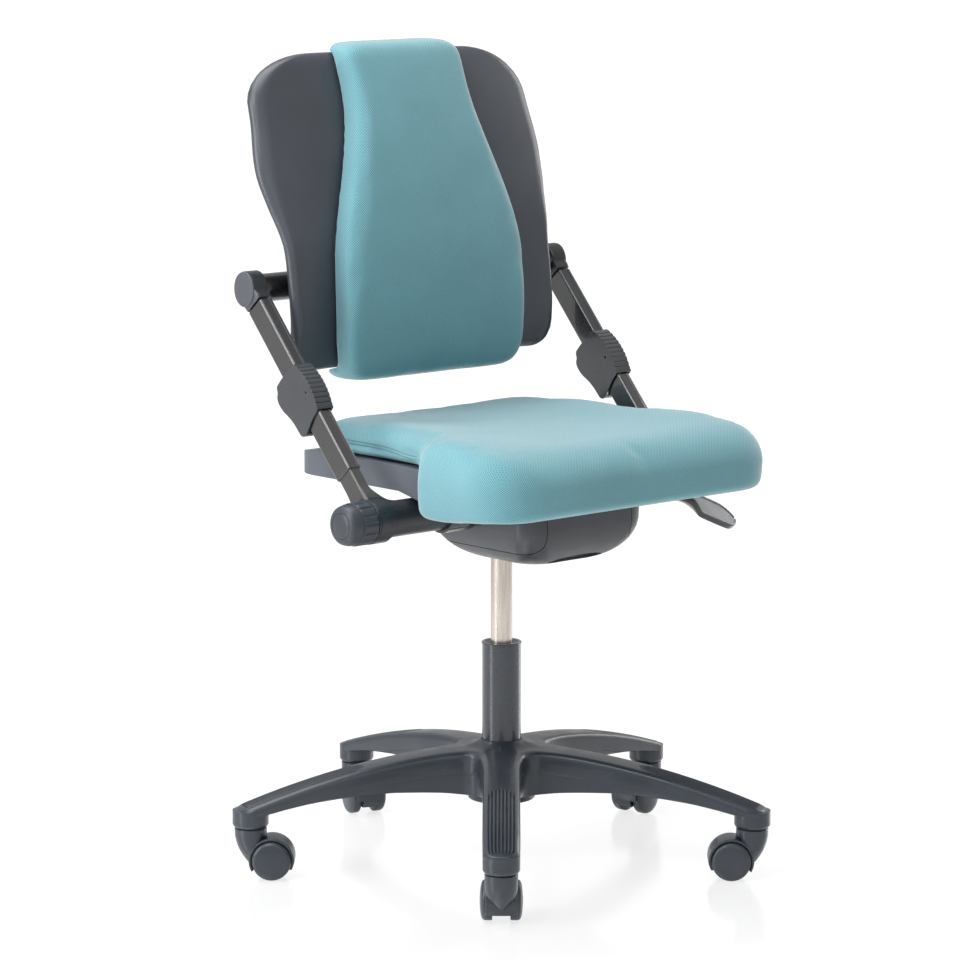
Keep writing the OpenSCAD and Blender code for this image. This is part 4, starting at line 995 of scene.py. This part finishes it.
def makeHousing():
    tray = piece(housingForm(0), "housingTray", housingPlastic, "mechanism", "base_plastic", ["housing_tray"],
                 sharp=50)
    carve(tray, [coverRegion(-0.5, 1), coverRegion(-0.5, -1)])
    backing = bmesh.new()
    merge(backing, housingForm(2.6))
    carve(tray, [loose(backing)], "UNION")
    carve(tray, [loose(housingForm(6.5, 12))])
    long, wide = housing["gripSize"]
    grip = solid(prism, [(long * math.cos(a * tau / 48), wide * math.sin(a * tau / 48)) for a in range(48)],
                 -9, 5, "Z")
    lean = math.radians(housing["gripLean"])
    spot = shifted(2, housing["front"] + housing["nose"] * (1 - math.sin(lean)),
                   housing["bottom"] + housing["nose"] * (1 - math.cos(lean)))
    turn = spot @ Matrix.Rotation(-lean, 4, "X")
    column = solid(turned, [(400, 0.01), (400, 23), (461, 23), (461, 0.01)], 64, upright)
    carve(tray, [loose(grip, turn), loose(column)] + openings())
    softenEdges(tray, 1.3)
    for side, word in ((1, "left"), (-1, "right")):
        cover = piece(housingForm(0), f"sideCover{word.title()}", housingPlastic, "mechanism", "base_plastic",
                      [f"housing_side_{word}"], sharp=50)
        carve(cover, [coverRegion(0.5, side)], "INTERSECT")
        carve(cover, [loose(housingForm(2.9, 6))] + openings())
        softenEdges(cover, 1.9)


makeHousing()


paddle = {"x": 84, "y": -128, "z": 472, "bend": 186, "reach": 115, "droop": 23, "roll": 38, "half": 22}


def bladeTurn(x):
    return math.radians(paddle["roll"] * ease((x - 8) / 36))


def bladeRing(x):  # section of the blade, which twists towards the front
    w = (paddle["half"] - 1.5 * ease((62 - x) / 50) - rounding(x + 2, 26, 18)
         - rounding(paddle["reach"] - x, 28, paddle["half"] - 0.5))
    k = min(1, w / 9)
    lift = 0.4 + 0.6 * (1 - ease((0.35 - k) / 0.3))
    half = [(0, 1.9), (w - 5 * k, 1.9), (w - 4.4 * k, 2.9), (w - 2 * k, 3.1), (w - 0.7 * k, 2.5), (w, 1.2),
            (w, -3.6), (w - 0.8 * k, -5.4), (w - 2.4 * k, -6.2), (0, -6.2)]
    c, s = math.cos(bladeTurn(x)), math.sin(bladeTurn(x))
    return [(x, y * c - z * lift * s, y * s + z * lift * c) for y, z in fullRing(half)]


def bladeTop(point):  # height over the blade's twisted middle plane
    turn = bladeTurn(point.x)
    return point.z * math.cos(turn) - point.y * math.sin(turn)


def makePaddle():
    reach, place = paddle["reach"], (paddle["y"], paddle["z"])
    bm = solid(turned, [(-5, 3.1), (-5, 5.2), (-4.2, 6), (4.2, 6), (5, 5.2), (5, 3.1), (-5, 3.1)], 40,
               forward)
    shift(bm, paddle["x"], *place)
    lever = [[(x, y, z) for y, z in roundRect(10 + 4 * ease((x - 170) / 22), 5.2, 1.6, 3, *place)]
             for x in (88, 140, 170, 184, 192)]
    merge(bm, solid(loft, lever))
    stations = sweep(-2, 14, range(0, 90, 10)) + list(range(15, 84, 5)) + sweep(reach, -26, range(80, -1, -8))
    turn = shifted(paddle["bend"], *place) @ rotated(paddle["droop"], "Y")
    merge(bm, solid(loft, [bladeRing(x) for x in stations]), turn)
    obj = piece(bm, "heightPaddle", blackPaint, "paddle", "dark_plastic", ["height_paddle"], turnOut=False,
                weld=0.001, sharp=35)
    secondFinish(obj, turn, capPlastic, lambda c: 0 < c.x < reach and bladeTop(c) > 1.6)


makePaddle()
print("housing and paddle made")


# Soft goods: shaped by rings and puffed by a short cloth simulation
seat = {"frontHalf": 243, "rearHalf": 204, "front": 278, "rear": 160, "top": 573, "lobeUnder": 490,
        "lobeSag": 9, "dish": 4, "brim": 16, "saddle": 6, "notch": -89, "notchLength": 44, "seamEnd": -66,
        "voxel": 5.0, "cap": 6.0, "shrink": 2.0}
underLine = [(-278, 490), (-250, 490), (-236, 499), (-221, 519), (-205, 530), (-60, 540), (180, 540.5)]


def seatHalf(y):
    return (seat["rearHalf"] + (seat["frontHalf"] - seat["rearHalf"])
            * ease((seat["notch"] + seat["notchLength"] / 2 - y) / seat["notchLength"])
            - rounding(y + seat["front"], 68, 74) - rounding(seat["rear"] - y, 38, 44))


def cushionRing(y):
    w = seatHalf(y)
    ahead = y + seat["front"]
    top = seat["top"] - rounding(ahead, 85, 50) - rounding(seat["rear"] - y, 24, 10)
    lobe = ease((seat["notch"] + 22 - y) / 40)
    under = lookup(y, underLine)
    drop = seat["lobeSag"] * min(1, max(0, (y + 225) / 83))
    low = under - (under - seat["lobeUnder"] + drop) * lobe + rounding(ahead, 36, 24)
    inner = max(under, low)
    girth = low + (top - low) * 0.45
    rim = top - girth
    dish = seat["dish"] * ease((seat["rear"] - y) / 60) * ease(ahead / 90)
    lip = w - 26 - 26 * lobe
    brim = seat["brim"] * ease((40 - y) / 110) * ease((y - seat["notch"] + 26) / 40)  # before the notch
    soft = ease((-222 - y) / 40)
    saddle = seat["saddle"] * ease((95 - y) / 60) * ease((y + 215) / 70)  # the sides stand a little higher
    half = [(0, top - dish), (0.15 * w, top - 0.95 * dish), (0.3 * w, top - 0.8 * dish),
            (0.45 * w, top - 0.5 * dish + 0.1 * saddle), (0.58 * w, top - 0.25 * dish + 0.4 * saddle),
            (0.72 * w + 0.6 * brim, top + 0.8 * saddle), (w - 34 + brim, top - 0.5 + saddle),
            (w - 20 + 0.95 * brim, top + 0.9 * saddle - rim * 0.13),
            (w - 9 + 0.75 * brim, top + 0.5 * saddle - rim * 0.36), (w - 2.5 + 0.4 * brim, top - rim * 0.68),
            (w + 0.1 * brim, girth), (w - 2 - 3 * soft, low + (girth - low) * 0.45),
            (w - 9 - 6 * soft, low + (girth - low) * 0.14), (w - 19 - 14 * soft, low), (lip - 8 * soft, low),
            (lip - 3 - 5 * lobe - 8 * soft, inner), (0.5 * w, inner), (0.25 * w, inner), (0, inner)]
    return [(x, y, z) for x, z in fullRing(half)]


def shapeObject(name, rings):
    bm = solid(loft, rings)
    bmesh.ops.poke(bm, faces=[f for f in bm.faces if len(f.verts) > 4])
    return added(name, finishMesh(bm, name))


def smoothed(bm, times):
    for i in range(times):
        bmesh.ops.smooth_vert(bm, verts=bm.verts, factor=0.5, use_axis_x=True, use_axis_y=True,
                              use_axis_z=True)


def simulated(obj):  # the points after the foam has pressed the cover out
    cloth = obj.modifiers.new("Cloth", "CLOTH")
    for key, value in [("quality", 5), ("mass", 0.3), ("tension_stiffness", 18), ("shear_stiffness", 8),
                       ("compression_stiffness", 18), ("bending_stiffness", 1.2), ("use_pressure", True),
                       ("uniform_pressure_force", 4)]:
        setattr(cloth.settings, key, value)
    cloth.settings.effector_weights.gravity = 0
    cloth.point_cache.frame_start = 1
    cloth.point_cache.frame_end = 20
    for frameNumber in range(1, 21):
        scene.frame_set(frameNumber)
    evaluated = obj.evaluated_get(bpy.context.evaluated_depsgraph_get())
    moved = [v.co.copy() for v in evaluated.data.vertices]
    obj.modifiers.remove(cloth)
    scene.frame_set(1)
    return moved


def puff(obj, sizes, hold):  # hold gives the share of movement for a normal
    subdivided(obj)
    remesh = obj.modifiers.new("Remesh", "REMESH")
    remesh.mode = "VOXEL"
    remesh.voxel_size = sizes["voxel"] * mm
    settle(obj)
    shrink, cap = sizes["shrink"] * mm, sizes["cap"] * mm
    bm = bmesh.new()
    bm.from_mesh(obj.data)
    smoothed(bm, 8)
    bm.normal_update()
    share = [hold(v.normal) for v in bm.verts]
    for v, s in zip(bm.verts, share):
        v.co -= v.normal * shrink * s
    bm.to_mesh(obj.data)
    bm.free()
    rest = [v.co.copy() for v in obj.data.vertices]
    moved = simulated(obj)
    for vertex, start, end, s in zip(obj.data.vertices, rest, moved, share):
        step = end - start
        if step.length > cap:
            step *= cap / step.length
        vertex.co = start + step * s
    bm = bmesh.new()
    bm.from_mesh(obj.data)
    smoothed(bm, 2)
    for face in bm.faces:
        face.smooth = True
    bm.to_mesh(obj.data)
    bm.free()
    print(obj.name, len(obj.data.vertices), "points")


def seamHeight(y):
    return 556 - 5 * ease((20 - y) / 90)


def seamPath(obj):  # points and normals of the side band's seam, round the thin rear part from notch to notch
    bm = bmesh.new()
    bm.from_mesh(obj.data)
    surface = BVHTree.FromBMesh(bm)
    bm.free()
    middle, far = 40, 420
    path = []
    for i in range(181):
        a = math.radians(-20 + 220 * i / 180)
        y = middle + far * math.sin(a)
        start = Vector((far * math.cos(a), y, seamHeight(y))) * mm
        end = Vector((0, middle, seamHeight(y))) * mm
        spot, normal = surface.ray_cast(start, (end - start).normalized())[:2]
        if spot and spot.y / mm > seat["seamEnd"]:
            path.append((spot / mm, normal))
    return path


def sinkAlong(obj, path, width, depth):  # presses a groove into a mesh along a path in millimetres
    finder = kdtree.KDTree(len(path))
    for i, (spot, normal) in enumerate(path):
        finder.insert(spot * mm, i)
    finder.balance()
    for v in obj.data.vertices:
        far = finder.find(v.co)[2]
        if far < width * mm:
            v.co -= v.normal * depth * mm * (1 - ease(far / width / mm))


def stitchRow(bm, path, side):
    length, gap, radius = 3.2, 1.9, 0.34
    walked, nextAt = 0.0, gap
    for (a, normal), (b, following) in zip(path, path[1:]):
        run = (b - a).length
        while walked + run > nextAt:
            along = (b - a).normalized()
            across = along.cross(normal).normalized()
            middle = a.lerp(b, (nextAt - walked) / run) + across * weave["seamHalf"] * side + normal * 0.12
            turn = Matrix((along, across, normal)).transposed().to_4x4()
            made = bmesh.ops.create_icosphere(bm, subdivisions=1, radius=1)["verts"]
            bmesh.ops.transform(bm, verts=made, matrix=Matrix.Translation(middle) @ turn
                                @ Matrix.Diagonal((length / 2, radius, radius, 1)))
            nextAt += length + gap
        walked += run


def makeSeat():
    depths = sweep(-seat["front"], 85, (0, 8, 16, 24, 32))
    depths += [-258, -250, -243, -236, -228, -221, -213, -205, -190, -175, -158, -140, -128, -118, -112,
               -106, -101, -96, -91, -86, -81, -76, -71, -66, -60, -46, -33, -20, -7, 7, 20, 45, 70, 90, 110]
    depths += sweep(seat["rear"], -42, (64, 48, 36, 24, 12, 0))
    obj = shapeObject("seatCushion", [cushionRing(y) for y in depths])
    puff(obj, seat, lambda normal: ease((normal.z + 0.75) / 0.6))  # the underside stays on the pan
    declared(obj, seatFabric, "seat", ["seat_cushion"])
    path = seamPath(obj)
    sinkAlong(obj, path, 6, 0.7)
    height = obj.data.attributes.new("seamHeight", "FLOAT", "POINT")
    share = obj.data.attributes.new("seamShare", "FLOAT", "POINT")
    for i, vertex in enumerate(obj.data.vertices):
        x, y, z = vertex.co / mm
        height.data[i].value = z - seamHeight(y)
        inside = ease((y - seat["seamEnd"] + 2) / 5) * (1 - ease((abs(vertex.normal.z) - 0.8) / 0.1))
        share.data[i].value = inside if z > lookup(y, underLine) + 4 else 0
    subdivided(obj)
    bm = bmesh.new()
    for side in (1, -1):
        stitchRow(bm, path, side)
    piece(bm, "seatSeam", threadTeal, "seat", "teal_fabric", weld=0.001, sharp=80)


makeSeat()


back = {"top": 1034, "bottom": 637, "waist": 222, "shoulder": 240, "padHalf": 156, "padTopHalf": 101,
        "padFront": 16, "proud": 21, "base": 131, "rate": 0.0007, "middle": 715, "sheet": 15.4, "voxel": 4.8,
        "cap": 3.0, "shrink": 2.0}
padTop, padBottom = back["top"] + 15, back["bottom"] - 19
wrapLine = [(700, -16), (763, -9.7), (801, -7), (839, 3), (878, 8.5), (915, 9)]  # wings' bend at a height


def curveY(z):
    return back["base"] + back["rate"] * (z - back["middle"]) ** 2


def bodyFront(x, z):
    return curveY(z) + back["proud"] + lookup(z, wrapLine) * (max(0, abs(x) - 120) / 110) ** 2


def bodyRear(x, z):
    return bodyFront(x, z) + back["sheet"] + 7 * (max(0, abs(x) - 130) / 100) ** 2


def bodyHalf(z):
    half = back["waist"] + (back["shoulder"] - back["waist"]) * ease((z - 775) / 120)
    return (half - 7 * ease((z - 895) / 75) - rounding(back["top"] - z, 66, 106)
            - rounding(z - back["bottom"], 34, 30))


def bodyRing(z):
    h = bodyHalf(z)
    e = rounding(back["top"] - z, 12, 6) + rounding(z - back["bottom"], 12, 6)
    shares = (0, 0.15, 0.3, 0.45, 0.57, 0.68, 0.77, 0.85, 0.91, 0.945)
    front = [(u * h, bodyFront(u * h, z) + e) for u in shares]
    f, r = bodyFront(h, z) + e, bodyRear(h, z) - e
    side = [(u * h, f + (r - f) * share) for u, share in [
        (0.965, 0.05), (0.982, 0.15), (0.994, 0.3), (1, 0.5), (0.996, 0.66), (0.984, 0.83), (0.968, 0.94)]]
    rear = [(u * h, bodyRear(u * h, z) - e) for u in (0.945, 0.9, 0.82, 0.72, 0.6, 0.45, 0.3, 0.15, 0)]
    return [(x, y, z) for x, y in fullRing(front + side + rear)]


def makeBackBody():
    low, high = back["bottom"], back["top"]
    heights = sweep(low, 14, (0, 20, 35, 50, 65, 80))
    heights += [low + 14 + (high - low - 40) * i / 34 for i in range(34)]
    heights += sweep(high, -26, (88, 76, 64, 53, 42, 31, 20, 10, 0))
    piece(solid(loft, [bodyRing(z) for z in heights]), "backBody", skin, "backrest", "dark_skin",
          ["back_body"], sharp=70)


makeBackBody()


def padSide(z):
    return (back["padHalf"] - (back["padHalf"] - back["padTopHalf"]) * ease((z - 760) / 245)
            - 2 * ease((720 - z) / 70) - rounding(padTop - z, 18, 30) - rounding(z - padBottom, 46, 32))


def padRing(z):
    w = padSide(z)
    y = curveY(z) + rounding(padTop - z, 16, 11) + rounding(z - padBottom, 20, 13) - back["padFront"]

    def rearFace(x):  # the pad lies on the back body and wraps its upper and lower edge
        if z > back["top"]:
            return curveY(z) + back["proud"] + 9
        if z < back["bottom"]:
            return curveY(z) + back["proud"] + back["sheet"] + 11
        return bodyFront(x, z) - 0.4

    front = [(u * w, y - 5 * (1 - u * u)) for u in (0, 0.15, 0.3, 0.45, 0.58, 0.7, 0.78, 0.85)]
    seated = rearFace(w)
    side = [(w - 11.5, y + 0.4), (w - 7, y + 1.6), (w - 3.4, y + 4), (w - 1, y + 7.8), (w, y + 12.5),
            (w, max(y + 13, (y + 12.5 + seated) / 2)), (w - 0.6, max(y + 13.5, seated - 4)),
            (w - 2.5, max(y + 14, seated - 1))]
    rear = [(u * w, rearFace(u * w)) for u in (0.95, 0.85, 0.7, 0.5, 0.25, 0)]
    return [(x, depth, z) for x, depth in fullRing(front + side + rear)]


def makePad():
    low, high = back["bottom"], back["top"]
    heights = [padBottom + d for d in (0, 1, 3, 6, 10, 14)] + [low - 0.6, low + 0.01]
    heights += [low + 8 + (high - low - 16) * i / 40 for i in range(41)]
    heights += [high - 0.01, high + 0.6] + [padTop - d for d in (11, 8, 5, 2.5, 1, 0)]
    obj = shapeObject("backPad", [padRing(z) for z in heights])
    puff(obj, back, lambda normal: ease((0.55 - normal.y) / 0.5))  # the rear stays on the back body
    subdivided(obj)
    declared(obj, fabric, "backrest", ["back_pad"])


makePad()
print("soft pieces puffed")

pan = {"channelTop": 519, "rear": 172.5, "tail": (132, 142, 150, 157, 163, 168), "tailDrop": 19, "runOn": 23}
buildLine = [(-278, 490), (-250, 490), (-236, 499), (-221, 519), (-205, 528), (-60, 528), (-33, 532),
             (-7, 543), (20, 547), (180, 547)]  # the pan's top as it is built


def levelPan(bm):  # the pan's top meets the cushion's flat underside, its tail rounds down
    for y in pan["tail"]:
        bmesh.ops.bisect_plane(bm, geom=everything(bm), plane_co=(0, y * mm, 0),
                               plane_no=(0, 1, 0))
    for v in bm.verts:
        x, y, z = v.co / mm
        built = lookup(y, buildLine)
        share = min(1, max(0, (z - pan["channelTop"]) / (built - 0.6 - pan["channelTop"]))) if y > -221 else 0
        drop = rounding(pan["rear"] - y, pan["rear"] - pan["tail"][0], pan["tailDrop"])
        z += (lookup(y, underLine) - built - drop) * share
        if abs(x) > 200 and y < -50:  # the sides run on into the cushion's lobes
            y, z = y - pan["runOn"], (499 if z < 512 else z - 1.4)
        v.co = Vector((x, y, z)) * mm


roundedCopy("seat_pan", "seat", panPlastic, 1.6, 3, levelPan)
roundedCopy("back_cover", "backrest", darkPlastic, 1.0)
roundedCopy("back_bracket", "backrest", blackPaint, 0.8)
roundedCopy("mechanism_block", "mechanism", blackPaint, 1.2)
roundedCopy("seat_carrier", "rocker", blackPaint, 0.8)
print("rounded copies made")
